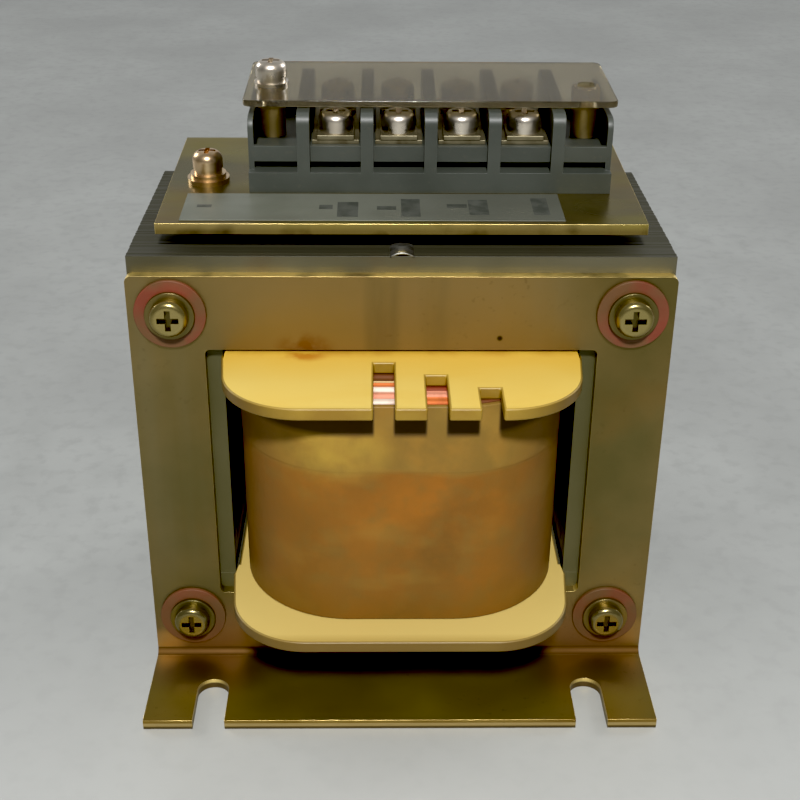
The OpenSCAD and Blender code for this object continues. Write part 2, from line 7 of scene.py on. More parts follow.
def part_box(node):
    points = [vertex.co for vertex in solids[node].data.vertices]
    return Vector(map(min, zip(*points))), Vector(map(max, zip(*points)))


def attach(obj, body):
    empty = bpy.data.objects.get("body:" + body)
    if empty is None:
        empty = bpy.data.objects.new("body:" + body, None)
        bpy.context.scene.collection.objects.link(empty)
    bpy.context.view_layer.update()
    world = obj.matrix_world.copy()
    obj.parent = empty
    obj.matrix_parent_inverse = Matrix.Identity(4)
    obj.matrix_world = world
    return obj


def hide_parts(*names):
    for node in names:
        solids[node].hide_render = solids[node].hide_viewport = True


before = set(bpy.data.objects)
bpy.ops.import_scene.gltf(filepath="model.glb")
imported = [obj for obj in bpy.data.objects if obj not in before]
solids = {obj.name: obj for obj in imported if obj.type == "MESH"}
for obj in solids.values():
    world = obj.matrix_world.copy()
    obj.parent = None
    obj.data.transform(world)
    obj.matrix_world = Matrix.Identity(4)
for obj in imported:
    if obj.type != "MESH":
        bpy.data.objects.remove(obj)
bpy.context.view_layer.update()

# Core: E and I sheets of silicon steel, stacked front to rear and butted together under the coil.
# The varnished stack shows the uneven edges of its sheets, with fine grooves, on the top and the sides.
mm = 0.001
SHEETS = 96
STACK_DEPTH = 48 * mm
SHEET_EDGE = 0.15 * mm
GROOVE = 0.07 * mm
UNEVEN = 0.05 * mm
TOP_FROM = 85.7 * mm
TOP_TO = 85.85 * mm
FACE_FROM = 23.9 * mm
BAR_FROM = 75 * mm
BOLT_X = 40.6 * mm
BOLT_LOW = 11.3 * mm
BOLT_HIGH = 76 * mm
BOLT_ROOM = 4 * mm
SHEET_DARK = (0.049, 0.045, 0.026, 1)
SHEET_PALE = (0.125, 0.116, 0.076, 1)
SHEET_RUST = (0.085, 0.052, 0.024, 1)
SHEET_OILED = (0.038, 0.038, 0.029, 1)
SHEET_AMBER = (0.082, 0.075, 0.022, 1)


def add(tree, kind, inputs=None, **settings):
    node = tree.nodes.new(kind)
    for name, value in settings.items():
        setattr(node, name, value)
    for socket, value in (inputs or {}).items():
        if isinstance(value, bpy.types.NodeSocket):
            tree.links.new(value, node.inputs[socket])
        else:
            node.inputs[socket].default_value = value
    return node


def effect(name, inputs, outputs):
    tree = bpy.data.node_groups.new(name, "ShaderNodeTree")
    for label, kind, value in inputs:
        tree.interface.new_socket(label, in_out="INPUT", socket_type=kind).default_value = value
    for label, kind in outputs:
        tree.interface.new_socket(label, in_out="OUTPUT", socket_type=kind)
    return tree, tree.nodes.new("NodeGroupInput").outputs, tree.nodes.new("NodeGroupOutput").inputs


def finish(name, metallic, roughness, **sockets):
    material = bpy.data.materials.new(name)
    material.use_nodes = True
    shader = material.node_tree.nodes["Principled BSDF"]
    shader.inputs["Metallic"].default_value = metallic
    shader.inputs["Roughness"].default_value = roughness
    for socket, value in sockets.items():
        shader.inputs[socket.replace("_", " ")].default_value = value
    return material, material.node_tree, shader.inputs


def tint(tree, mask, under, over):
    return add(tree, "ShaderNodeMix", {0: mask, 6: under, 7: over}, data_type="RGBA").outputs[2]


def times(tree, a, b):
    return add(tree, "ShaderNodeMath", {0: a, 1: b}, operation="MULTIPLY").outputs[0]


# soft-edged patches of a second tone; Stretch turns them into streaks
patches, given, out = effect(
    "patches",
    [("Stretch", "NodeSocketVector", (1, 1, 1)), ("Scale", "NodeSocketFloat", 50),
     ("Detail", "NodeSocketFloat", 3), ("From", "NodeSocketFloat", 0.4), ("To", "NodeSocketFloat", 0.6)],
    [("Mask", "NodeSocketFloat")])
spot_on = add(patches, "ShaderNodeTexCoord").outputs["Object"]
drawn = add(patches, "ShaderNodeVectorMath", {0: spot_on, 1: given["Stretch"]}, operation="MULTIPLY")
cloud = add(patches, "ShaderNodeTexNoise",
            {"Vector": drawn.outputs[0], "Scale": given["Scale"], "Detail": given["Detail"]})
ranged = add(patches, "ShaderNodeMapRange",
             {"Value": cloud.outputs[0], "From Min": given["From"], "From Max": given["To"]})
patches.links.new(ranged.outputs[0], out["Mask"])

# fine unevenness of a surface, as a normal
grain, given, out = effect(
    "grain",
    [("Stretch", "NodeSocketVector", (1, 1, 1)), ("Scale", "NodeSocketFloat", 900),
     ("Strength", "NodeSocketFloat", 0.1), ("Depth", "NodeSocketFloat", 0.0002)],
    [("Normal", "NodeSocketVector")])
spot_on = add(grain, "ShaderNodeTexCoord").outputs["Object"]
drawn = add(grain, "ShaderNodeVectorMath", {0: spot_on, 1: given["Stretch"]}, operation="MULTIPLY")
cloud = add(grain, "ShaderNodeTexNoise",
            {"Vector": drawn.outputs[0], "Scale": given["Scale"], "Detail": 4.0})
raised = add(grain, "ShaderNodeBump",
             {"Height": cloud.outputs[0], "Strength": given["Strength"], "Distance": given["Depth"]})
grain.links.new(raised.outputs[0], out["Normal"])


def patch(tree, scale, low, high, detail=3.0, stretch=(1, 1, 1)):
    return add(tree, "ShaderNodeGroup",
               {"Scale": scale, "From": low, "To": high, "Detail": detail, "Stretch": stretch},
               node_tree=patches).outputs["Mask"]


def grained(tree, scale, strength, depth, stretch=(1, 1, 1)):
    return add(tree, "ShaderNodeGroup",
               {"Scale": scale, "Strength": strength, "Depth": depth, "Stretch": stretch},
               node_tree=grain).outputs["Normal"]


def place_on(tree):
    return add(tree, "ShaderNodeSeparateXYZ", {0: add(tree, "ShaderNodeTexCoord").outputs["Object"]})


stack, tree, shader = finish("varnished_stack", 0.35, 0.5)
at = place_on(tree)
sheet_edge = add(tree, "ShaderNodeMath",
                 {0: times(tree, at.outputs["Y"], pi * SHEETS / STACK_DEPTH)}, operation="SINE")
line = add(tree, "ShaderNodeMapRange", {"Value": sheet_edge.outputs[0], "From Min": -0.2, "From Max": 0.9})
tone = tint(tree, patch(tree, 26, 0.35, 0.68), SHEET_DARK, SHEET_PALE)
streak = patch(tree, 16, 0.42, 0.66, 5.0, (1, 34, 1))
tone = tint(tree, times(tree, streak, 0.55), tone, SHEET_PALE)
tone = tint(tree, times(tree, line.outputs[0], 0.35), tone, SHEET_DARK)
tone = tint(tree, times(tree, patch(tree, 70, 0.56, 0.72, 5.0), 0.5), tone, SHEET_RUST)
on_top = add(tree, "ShaderNodeMapRange",
             {"Value": at.outputs["Z"], "From Min": TOP_FROM, "From Max": TOP_TO, "To Max": 0.75})
tone = tint(tree, on_top.outputs[0], tone, SHEET_OILED)
from_middle = add(tree, "ShaderNodeMath", {0: at.outputs["Y"]}, operation="ABSOLUTE")
on_face = add(tree, "ShaderNodeMath", {0: from_middle.outputs[0], 1: FACE_FROM}, operation="GREATER_THAN")
below_bar = add(tree, "ShaderNodeMath", {0: at.outputs["Z"], 1: BAR_FROM}, operation="LESS_THAN")
in_window = times(tree, on_face.outputs[0], below_bar.outputs[0])
tone = tint(tree, times(tree, in_window, 0.6), tone, SHEET_AMBER)
tree.links.new(tone, shader["Base Color"])
tree.links.new(grained(tree, 900, 0.15, 0.05 * mm, (1, 6, 1)), shader["Normal"])


def soft_edged(node, width, segments=2):
    bm = bmesh.new()
    bm.from_mesh(solids[node].data)
    bmesh.ops.remove_doubles(bm, verts=bm.verts, dist=0.002 * mm)
    bmesh.ops.dissolve_limit(bm, angle_limit=radians(0.5), verts=bm.verts, edges=bm.edges)
    inside = [f for f in bm.faces if all(len(e.link_faces) > 2 for e in f.edges)]
    bmesh.ops.delete(bm, geom=inside, context="FACES_ONLY")
    sharp = [e for e in bm.edges if len(e.link_faces) == 2 and e.calc_face_angle() > radians(30)]
    bmesh.ops.bevel(bm, geom=sharp, offset=width, offset_type="OFFSET", affect="EDGES",
                    segments=segments, profile=0.5, material=-1, clamp_overlap=True)
    return bm


def in_bolt_hole(place):
    return (abs(abs(place.x) - BOLT_X) < BOLT_ROOM
            and min(abs(place.z - BOLT_LOW), abs(place.z - BOLT_HIGH)) < BOLT_ROOM)


def piece(bm, name, material, slot, *stands_for):
    mesh = bpy.data.meshes.new(name)
    bm.to_mesh(mesh)
    bm.free()
    mesh.shade_smooth()
    mesh.materials.append(material)
    made = bpy.data.objects.new(name, mesh)
    bpy.context.scene.collection.objects.link(made)
    made.modifiers.new("even_shading", "WEIGHTED_NORMAL").keep_sharp = True
    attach(made, "root")
    if stands_for:
        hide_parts(*stands_for)


def dress(material, *names):
    for name in names:
        solids[name].data.materials.clear()
        solids[name].data.materials.append(material)


for sheet in ("e", "i"):
    bm = soft_edged(f"{sheet}_laminations", SHEET_EDGE)
    along = [e for e in bm.edges if abs(e.verts[0].co.y - e.verts[1].co.y) > 0.9 * STACK_DEPTH
             and not in_bolt_hole(e.verts[0].co)]
    bmesh.ops.subdivide_edges(bm, edges=along, cuts=3 * SHEETS - 1, use_grid_fill=True)
    bm.normal_update()
    step = (STACK_DEPTH - 2 * SHEET_EDGE) / (3 * SHEETS)
    moves = {}
    for v in bm.verts:
        k = round((v.co.y + STACK_DEPTH / 2 - SHEET_EDGE) / step)
        if 0 < k < 3 * SHEETS:
            uneven = UNEVEN * sin(9.7 * (k // 3) ** 2)
            moves[v] = v.normal * (uneven if k % 3 else -GROOVE)
    for v, move in moves.items():
        v.co += move
    piece(bm, f"{sheet}_stack", stack, "lamination_steel", f"{sheet}_laminations")

# Weld beads: one across the top of the stack and one along each side, over the joint of the E and I sheets.
# Each is a row of overlapping ripples of bare weld metal.
BEAD_WIDTH = 4.2 * mm
BEAD_HEIGHT = 0.7 * mm
RIPPLE = 1.1 * mm
BEAD_SEAT = 0.3 * mm
BEAD_ACROSS = 12
BEAD_ALONG = 220
WELD_GREY = (0.16, 0.16, 0.145, 1)
WELD_BRIGHT = (0.40, 0.40, 0.37, 1)
WELD_BURNT = (0.10, 0.07, 0.035, 1)

weld, tree, shader = finish("bare_weld", 0.85, 0.38)
tone = tint(tree, patch(tree, 420, 0.4, 0.62), WELD_GREY, WELD_BRIGHT)
tone = tint(tree, times(tree, patch(tree, 160, 0.52, 0.7), 0.6), tone, WELD_BURNT)
tree.links.new(tone, shader["Base Color"])
tree.links.new(grained(tree, 2600, 0.35, 0.1 * mm), shader["Normal"])


def lay(made, place, into):
    bmesh.ops.recalc_face_normals(made, faces=made.faces)
    bmesh.ops.transform(made, matrix=place, verts=made.verts)
    laid = bpy.data.meshes.new("laid")
    made.to_mesh(laid)
    made.free()
    into.from_mesh(laid)
    bpy.data.meshes.remove(laid)


core_low, core_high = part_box("e_laminations")
beads = bmesh.new()
for place in (Matrix.Translation((0, 0, core_high.z)),
              Matrix.Translation((core_high.x, 0, core_low.z)) @ Matrix.Rotation(radians(90), 4, "Y"),
              Matrix.Translation((core_low.x, 0, core_low.z)) @ Matrix.Rotation(radians(-90), 4, "Y")):
    bead = bmesh.new()
    bmesh.ops.create_grid(bead, x_segments=BEAD_ACROSS, y_segments=BEAD_ALONG, size=0.5)
    bmesh.ops.scale(bead, verts=bead.verts, vec=(BEAD_WIDTH, STACK_DEPTH, 1))
    for v in bead.verts:
        across = v.co.x / (BEAD_WIDTH / 2)
        crest = sin((v.co.y / RIPPLE + 0.45 * across * across) * 2 * pi)
        v.co.z = BEAD_HEIGHT * (1 - across * across) * (0.86 + 0.13 * crest)
    bmesh.ops.solidify(bead, geom=bead.faces[:], thickness=BEAD_SEAT)
    lay(bead, place, beads)
piece(beads, "weld_ripples", weld, "weld", "weld_beads")

# Bobbin: one ivory moulding of a square tube and two rounded flanges.
# Three stepped slots in the front of the upper flange let the winding leads out.
# Beside the core the flanges taper in, to pass between its legs.
FLANGE_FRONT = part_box("bobbin")[0].y
IVORY = (0.60, 0.420, 0.092, 1)
IVORY_PALE = (0.615, 0.46, 0.125, 1)
IVORY_DEEP = (0.56, 0.345, 0.042, 1)
IVORY_RIM_SHADE = (0.235, 0.137, 0.018, 1)
IVORY_DUSTY = (0.515, 0.390, 0.136, 1)
IVORY_SHADED = (0.110, 0.066, 0.014, 1)
STAIN = (0.36, 0.13, 0.012, 1)
IVORY_RIM_SHADE_PALE = (0.30, 0.192, 0.026, 1)
JOINT_BROWN = (0.40, 0.20, 0.03, 1)
EDGE_FADE = 2.6 * mm
NARROW = 31.2 * mm
FLARE_FROM = 24.3 * mm
STEP_LEFT = 0.15
SIDE_FROM = 30.5 * mm
SIDE_RUN = 9 * mm
FLANGE_TOP = 68.4 * mm
HALF_WAY = 40 * mm

# a round patch at one place, fading out over its rim
spot, given, out = effect(
    "spot",
    [("Centre", "NodeSocketVector", (0, 0, 0)), ("Stretch", "NodeSocketVector", (1, 1, 1)),
     ("Radius", "NodeSocketFloat", 0.003), ("Rim", "NodeSocketFloat", 0.003)],
    [("Mask", "NodeSocketFloat")])
away = add(spot, "ShaderNodeVectorMath",
           {0: add(spot, "ShaderNodeTexCoord").outputs["Object"], 1: given["Centre"]}, operation="SUBTRACT")
away = add(spot, "ShaderNodeVectorMath", {0: away.outputs[0], 1: given["Stretch"]}, operation="MULTIPLY")
away = add(spot, "ShaderNodeVectorMath", {0: away.outputs[0]}, operation="LENGTH")
rim_end = add(spot, "ShaderNodeMath", {0: given["Radius"], 1: given["Rim"]}, operation="ADD")
faded = add(spot, "ShaderNodeMapRange",
            {"Value": away.outputs["Value"], "From Min": rim_end.outputs[0], "From Max": given["Radius"]},
            interpolation_type="SMOOTHSTEP")
spot.links.new(faded.outputs[0], out["Mask"])


def spotted(tree, centre, radius, rim, stretch=(1, 1, 1)):
    return add(tree, "ShaderNodeGroup",
               {"Centre": centre, "Radius": radius, "Rim": rim, "Stretch": stretch},
               node_tree=spot).outputs["Mask"]


# Share of painted shade on a flange face: full on the rims, most on their rounded edges, none on flat faces.
def rim_shade_share(normal):
    if abs(normal.z) < 0.5:
        return 1.0
    return 0.75 if abs(normal.z) < 0.98 else 0.0


ivory, tree, shader = finish("ivory_moulding", 0.0, 0.42, Specular_IOR_Level=0.45)
at = place_on(tree)
tone = tint(tree, patch(tree, 24, 0.36, 0.66), IVORY, IVORY_PALE)
near_core = add(tree, "ShaderNodeMapRange",
                {"Value": at.outputs["Y"], "From Min": -38 * mm, "From Max": -27 * mm, "To Max": 0.75})
tone = tint(tree, near_core.outputs[0], tone, IVORY_DEEP)
tone = tint(tree, times(tree, patch(tree, 60, 0.5, 0.75, 5.0, (1, 2.5, 1)), 0.35), tone, IVORY_DEEP)
lower = add(tree, "ShaderNodeMath", {0: at.outputs["Z"], 1: HALF_WAY}, operation="LESS_THAN")
tone = tint(tree, times(tree, lower.outputs[0], 0.85), tone, IVORY_DUSTY)
# Painted shade: the flange tops darken over their last few mm towards the front edge.
front_edge_shade = add(tree, "ShaderNodeMapRange",
               {"Value": at.outputs["Y"], "From Min": FLANGE_FRONT + EDGE_FADE, "From Max": FLANGE_FRONT,
                "To Max": 0.5})
tone = tint(tree, front_edge_shade.outputs[0], tone, IVORY_RIM_SHADE)
# Painted shade: the rims take a darker copy of the ivory, darkest at the curved ends and on the lower
# flange.
rim_shade = add(tree, "ShaderNodeAttribute", attribute_name="flange_rim_shade").outputs["Fac"]
rim_shade_tone = tint(tree, patch(tree, 110, 0.4, 0.66, 4.0), IVORY_RIM_SHADE, IVORY_RIM_SHADE_PALE)
out_from_middle = add(tree, "ShaderNodeMath", {0: at.outputs["X"]}, operation="ABSOLUTE").outputs[0]
round_end = add(tree, "ShaderNodeMapRange",
                {"Value": out_from_middle, "From Min": 17 * mm, "From Max": 27 * mm, "To Max": 0.85})
rim_shade_tone = tint(tree, round_end.outputs[0], rim_shade_tone, IVORY_SHADED)
rim_shade_tone = tint(tree, times(tree, lower.outputs[0], 0.8), rim_shade_tone, IVORY_SHADED)
tone = tint(tree, rim_shade, tone, rim_shade_tone)
seep = times(tree, spotted(tree, (-17.3 * mm, -27 * mm, FLANGE_TOP), 1.5 * mm, 4 * mm, (1, 1.6, 1)),
             patch(tree, 300, 0.32, 0.55))
tone = tint(tree, times(tree, seep, 0.85), tone, STAIN)
joint_dirt = times(tree, spotted(tree, (0, -25.5 * mm, FLANGE_TOP), 0.6 * mm, 2.6 * mm, (0.03, 1, 1)),
                   patch(tree, 130, 0.4, 0.62, 5.0, (1, 0.4, 1)))
tone = tint(tree, times(tree, joint_dirt, 0.6), tone, JOINT_BROWN)
tree.links.new(tone, shader["Base Color"])
tree.links.new(grained(tree, 700, 0.12, 0.12 * mm), shader["Normal"])
bm = soft_edged("bobbin", 0.35 * mm, 3)
flared = [e for e in bm.edges if min(abs(v.co.x) for v in e.verts) > SIDE_FROM
          and abs(e.verts[0].co.y - e.verts[1].co.y) > SIDE_RUN and e.verts[0].co.y * e.verts[1].co.y > 0]
bmesh.ops.subdivide_edges(bm, edges=flared, cuts=3, use_grid_fill=True)
for v in bm.verts:
    if abs(v.co.x) > NARROW and abs(v.co.y) < FLARE_FROM + 0.5 * mm:
        v.co.x *= (NARROW + STEP_LEFT * (abs(v.co.x) - NARROW)) / abs(v.co.x)
bm.normal_update()
rim_shade_layer = bm.faces.layers.float.new("flange_rim_shade")
for face in bm.faces:
    face[rim_shade_layer] = rim_shade_share(face.normal)
piece(bm, "bobbin_moulding", ivory, "bobbin_ivory", "bobbin")

# Windings: layers of enamelled copper with varnished paper between them, wound on the bobbin tube.
# Their ends show as stripes at the bottom of the lead slots.
LAYER = 2.5 * mm
COIL_CORNER = Vector((9.3 * mm, 22.4 * mm, 0))
FIRST_LAYER = 10 * mm
LAST_LAYER = 20 * mm
SECOND_FROM = 1.3 * mm
THIRD_FROM = 10.3 * mm
BROWN_ENAMEL = (0.150, 0.055, 0.026, 1)
RED_ENAMEL = (0.230, 0.050, 0.028, 1)
ORANGE_ENAMEL = (0.720, 0.190, 0.060, 1)
PINK_ENAMEL = (0.800, 0.330, 0.220, 1)
WHITE_PAPER = (0.900, 0.760, 0.640, 1)
VARNISHED = (0.62, 0.42, 0.18, 1)
VARNISHED_PALE = (0.78, 0.60, 0.34, 1)


def banded(tree, value, *bands):
    ramp = add(tree, "ShaderNodeValToRGB", {0: value})
    ramp.color_ramp.interpolation = "EASE"
    stops = ramp.color_ramp.elements
    while len(stops) < 2 * len(bands):
        stops.new(1.0)
    for k, (start, end, colour) in enumerate(bands):
        stops[2 * k].position = start
        stops[2 * k + 1].position = end
        stops[2 * k].color = colour
        stops[2 * k + 1].color = colour
    return ramp.outputs[0]


wire, tree, shader = finish("enamelled_wire", 0.0, 0.4, Specular_IOR_Level=0.5)
where = add(tree, "ShaderNodeTexCoord").outputs["Object"]
spread = add(tree, "ShaderNodeVectorMath", {0: where}, operation="ABSOLUTE")
spread = add(tree, "ShaderNodeVectorMath", {0: spread.outputs[0], 1: COIL_CORNER}, operation="SUBTRACT")
spread = add(tree, "ShaderNodeVectorMath", {0: spread.outputs[0], 1: (0, 0, 0)}, operation="MAXIMUM")
spread = add(tree, "ShaderNodeVectorMath", {0: spread.outputs[0], 1: (1, 1, 0)}, operation="MULTIPLY")
radius = add(tree, "ShaderNodeVectorMath", {0: spread.outputs[0]}, operation="LENGTH").outputs["Value"]
ply = add(tree, "ShaderNodeMath", {0: times(tree, radius, 2 * pi / LAYER)}, operation="SINE")
through = add(tree, "ShaderNodeMapRange",
              {"Value": radius, "From Min": FIRST_LAYER, "From Max": LAST_LAYER}).outputs[0]
paper_layers = banded(tree, through, (0.0, 0.10, BROWN_ENAMEL), (0.13, 0.25, ORANGE_ENAMEL),
                      (0.28, 0.45, WHITE_PAPER), (0.49, 0.70, PINK_ENAMEL),
                      (0.74, 0.88, WHITE_PAPER), (0.93, 1.0, RED_ENAMEL))
wire_layers = banded(tree, through, (0.0, 0.40, RED_ENAMEL), (0.45, 0.62, PINK_ENAMEL),
                     (0.67, 0.88, ORANGE_ENAMEL), (0.93, 1.0, RED_ENAMEL))
across = add(tree, "ShaderNodeSeparateXYZ", {0: where}).outputs["X"]
second_slot = add(tree, "ShaderNodeMath", {0: across, 1: SECOND_FROM}, operation="GREATER_THAN")
third_slot = add(tree, "ShaderNodeMath", {0: across, 1: THIRD_FROM}, operation="GREATER_THAN")
tone = tint(tree, second_slot.outputs[0], paper_layers, wire_layers)
tone = tint(tree, third_slot.outputs[0], tone, BROWN_ENAMEL)
tone = tint(tree, times(tree, patch(tree, 520, 0.45, 0.65, 2.0, (1, 0.3, 1)), 0.3), tone, RED_ENAMEL)
tree.links.new(tone, shader["Base Color"])
turns = add(tree, "ShaderNodeBump", {"Height": ply.outputs[0], "Strength": 0.5, "Distance": 0.2 * mm})
tree.links.new(turns.outputs[0], shader["Normal"])
dress(wire, "inner_winding", "outer_winding")

varnished, tree, shader = finish("varnished_paper", 0.0, 0.5)
tree.links.new(tint(tree, patch(tree, 300, 0.35, 0.65), VARNISHED, VARNISHED_PALE),
               shader["Base Color"])
tree.links.new(grained(tree, 1500, 0.2, 0.05 * mm), shader["Normal"])
dress(varnished, "winding_insulation")

# Coil wrap: several turns of varnished kraft paper around the windings.
# It bulges a little, has a paler edge strip at the top and is mottled where the varnish soaked in. A shadow
# is painted under the front of the upper flange, broken where light falls through the lead slots; painted
# shade darkens its curved sides and its foot, and a painted highlight lies at its upper left.
BULGE = 0.5 * mm
LEVELS = 10
COIL_FRONT = -42.9 * mm
STRIP_FROM = 53.6 * mm
STRIP_STEP = 0.08 * mm
KRAFT = (0.172, 0.084, 0.019, 1)
KRAFT_PALE = (0.255, 0.160, 0.037, 1)
KRAFT_SHADE = (0.135, 0.072, 0.021, 1)
KRAFT_BLOTCH = (0.108, 0.060, 0.017, 1)
KRAFT_WARM = (0.258, 0.102, 0.0175, 1)
KRAFT_GREEN = (0.150, 0.095, 0.026, 1)
KRAFT_HIGHLIGHT = (0.355, 0.228, 0.040, 1)
KRAFT_SHADOW = (0.040, 0.024, 0.016, 1)
LEAD_SLOTS = (-3.2 * mm, 5.8 * mm, 14.8 * mm)

kraft, tree, shader = finish("kraft_wrap", 0.0, 0.5, Specular_IOR_Level=0.25)
at = place_on(tree)
higher = add(tree, "ShaderNodeMapRange",
             {"Value": at.outputs["Z"], "From Min": 32 * mm, "From Max": 46 * mm, "To Min": 0.3}).outputs[0]
tone = tint(tree, times(tree, patch(tree, 34, 0.40, 0.64, 4.0), higher), KRAFT, KRAFT_WARM)
for x in (-4, 12):
    cloud = spotted(tree, (x * mm, COIL_FRONT, 46 * mm), 2 * mm, 11 * mm, (1, 0.3, 1.2))
    tone = tint(tree, times(tree, cloud, patch(tree, 160, 0.3, 0.62, 4.0)), tone, KRAFT_WARM)
tone = tint(tree, times(tree, patch(tree, 75, 0.44, 0.64, 5.0), 0.65), tone, KRAFT_BLOTCH)
tone = tint(tree, times(tree, patch(tree, 150, 0.48, 0.64, 4.0), 0.4), tone, KRAFT_WARM)
tone = tint(tree, times(tree, patch(tree, 210, 0.48, 0.64, 4.0), 0.4), tone, KRAFT_GREEN)
tone = tint(tree, times(tree, patch(tree, 48, 0.5, 0.72, 4.0, (1, 1, 2.2)), 0.4), tone, KRAFT_PALE)
wavy = add(tree, "ShaderNodeMath",
           {0: times(tree, patch(tree, 90, 0.2, 0.8), 1.6 * mm), 1: at.outputs["Z"]}, operation="ADD")
top_strip = add(tree, "ShaderNodeMapRange",
                {"Value": wavy.outputs[0], "From Min": 53.4 * mm, "From Max": 54.8 * mm})
tone = tint(tree, times(tree, top_strip.outputs[0], 0.6), tone, KRAFT_PALE)
strip_marks = times(tree, top_strip.outputs[0], patch(tree, 170, 0.44, 0.62, 5.0))
tone = tint(tree, times(tree, strip_marks, 0.5), tone, KRAFT_GREEN)
# Painted shade: the wrap darkens towards the lower flange.
foot_shade = add(tree, "ShaderNodeMapRange",
                 {"Value": wavy.outputs[0], "From Min": 33 * mm, "From Max": 25 * mm})
tone = tint(tree, times(tree, foot_shade.outputs[0], 0.4), tone, KRAFT_SHADE)
# Painted highlight: a lit golden patch at the upper left of the front.
lit_left = spotted(tree, (-12.5 * mm, COIL_FRONT, 58 * mm), 3 * mm, 8 * mm, (0.8, 0.3, 1.3))
lit_patches = times(tree, times(tree, lit_left, 0.8), patch(tree, 140, 0.3, 0.6, 4.0))
tone = tint(tree, lit_patches, tone, KRAFT_HIGHLIGHT)
out_from_middle = add(tree, "ShaderNodeMath", {0: at.outputs["X"]}, operation="ABSOLUTE").outputs[0]
# Painted shade: the wrap darkens where its front turns to the sides.
side_shade = add(tree, "ShaderNodeMapRange",
                {"Value": out_from_middle, "From Min": 16 * mm, "From Max": 27 * mm, "To Max": 0.6})
tone = tint(tree, side_shade.outputs[0], tone, KRAFT_SHADE)
# Painted shadow: a dark band under the front of the upper flange, left out where light falls through the
# lead slots.
flange_shadow = add(tree, "ShaderNodeMapRange",
                   {"Value": at.outputs["Z"], "From Min": 60.1 * mm, "From Max": 61.3 * mm, "To Max": 0.9})
at_front = add(tree, "ShaderNodeMath", {0: at.outputs["Y"], 1: 0.0}, operation="LESS_THAN")
shade = times(tree, flange_shadow.outputs[0], at_front.outputs[0])
for x in LEAD_SLOTS:
    lit = spotted(tree, (x, 0, 0), 1.4 * mm, 0.6 * mm, (1, 0, 0))
    unlit = add(tree, "ShaderNodeMath", {0: 1.0, 1: lit}, operation="SUBTRACT")
    shade = times(tree, shade, unlit.outputs[0])
tone = tint(tree, shade, tone, KRAFT_SHADOW)
tree.links.new(tone, shader["Base Color"])
tree.links.new(grained(tree, 260, 0.30, 0.35 * mm, (1, 1, 0.6)), shader["Normal"])
wrap_low, wrap_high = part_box("coil_wrap")
bm = soft_edged("coil_wrap", 0.25 * mm)
levels = [wrap_low.z + (wrap_high.z - wrap_low.z) * k / LEVELS for k in range(1, LEVELS)]
for level in levels + [STRIP_FROM - STRIP_STEP, STRIP_FROM]:
    bmesh.ops.bisect_plane(bm, geom=bm.verts[:] + bm.edges[:] + bm.faces[:],
                           plane_co=(0, 0, level), plane_no=(0, 0, 1))
for v in bm.verts:
    height = (v.co.z - wrap_low.z) / (wrap_high.z - wrap_low.z) * 2 - 1
    v.co.y *= 1 + BULGE / wrap_high.y * (1 - height ** 4)
    if v.co.z > STRIP_FROM - STRIP_STEP / 2:
        v.co.x *= 1 + STRIP_STEP / wrap_high.x
        v.co.y *= 1 + STRIP_STEP / wrap_high.y
piece(bm, "paper_wrap", kraft, "coil_paper", "coil_wrap")

# Brackets: stamped steel sheet with a window for the coil and a foot bent outward, plated in yellow zinc.
# The plating is blotchy olive and gold, redder by the bends, streaked on the top bar and worn at cut edges.
# Painted light lies on it as well: a gold reflection across the top bar, highlights on up-facing edges,
# lower corners and slot ends, a paler middle of the front foot, a highlight band over shade on the foot
# ends, and shade in the bends.
OLIVE = (0.136, 0.108, 0.044, 1)
GOLD = (0.300, 0.205, 0.088, 1)
GREEN = (0.134, 0.119, 0.053, 1)
BROWN = (0.205, 0.118, 0.038, 1)
BRIGHT_CUT_AND_GLINT = (0.92, 0.70, 0.26, 1)
GREY_HAZE = (0.22, 0.205, 0.135, 1)
GREY_RUN = (0.135, 0.112, 0.055, 1)
LEG_RED = (0.25, 0.142, 0.085, 1)
FOOT_RED = (0.125, 0.080, 0.050, 1)
CORNER_HIGHLIGHT = (0.42, 0.26, 0.10, 1)
FOOT_END = -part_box("front_bracket")[0].y - 0.25 * mm
END_UPPER = (0.19, 0.110, 0.020, 1)
END_HIGHLIGHT = (0.50, 0.38, 0.17, 1)
END_SHADE = (0.105, 0.085, 0.050, 1)
FOOT_GOLD = (0.176, 0.131, 0.032, 1)
FOOT_LIT = (0.31, 0.255, 0.085, 1)
FOLD_SHADE = (0.090, 0.043, 0.013, 1)
SEEP_BROWN = (0.17, 0.055, 0.008, 1)
SPECK_BLACK = (0.012, 0.010, 0.008, 1)
PIT_DARK = (0.022, 0.016, 0.007, 1)
BAR_FACE = -26 * mm
FOOT_TOP = 3.6 * mm
BEND_END = 29.6 * mm
SLOT_X = 36 * mm
SLOT_ROOM = 3.6 * mm
SLOT_FROM = 33 * mm
SLOT_TO = 46.2 * mm


def yellow_zinc(name, roughness, gold, haze):
    material, tree, shader = finish(name, 0.9, roughness)
    tone = tint(tree, patch(tree, 20, 0.36, 0.66, 4.0), OLIVE, GREEN)
    tone = tint(tree, times(tree, patch(tree, 32, 0.40, 0.70, 5.0), gold), tone, GOLD)
    tone = tint(tree, times(tree, patch(tree, 55, 0.52, 0.74, 6.0), 0.5), tone, BROWN)
    tone = tint(tree, times(tree, patch(tree, 90, 0.48, 0.70, 4.0, (1, 1, 0.08)), haze), tone, GREY_HAZE)
    return material, tree, shader, tone


# Records for each face its share of worn bare metal, which also carries painted highlights.
def sheet_edges(bm, wear):
    cut = bm.faces.layers.float.new("edge_wear_and_glint")
    for face in bm.faces:
        face[cut] = wear(face.calc_center_median(), face.normal)
    return bm


plated, tree, shader, tone = yellow_zinc("plated_bracket", 0.46, 0.6, 0.28)
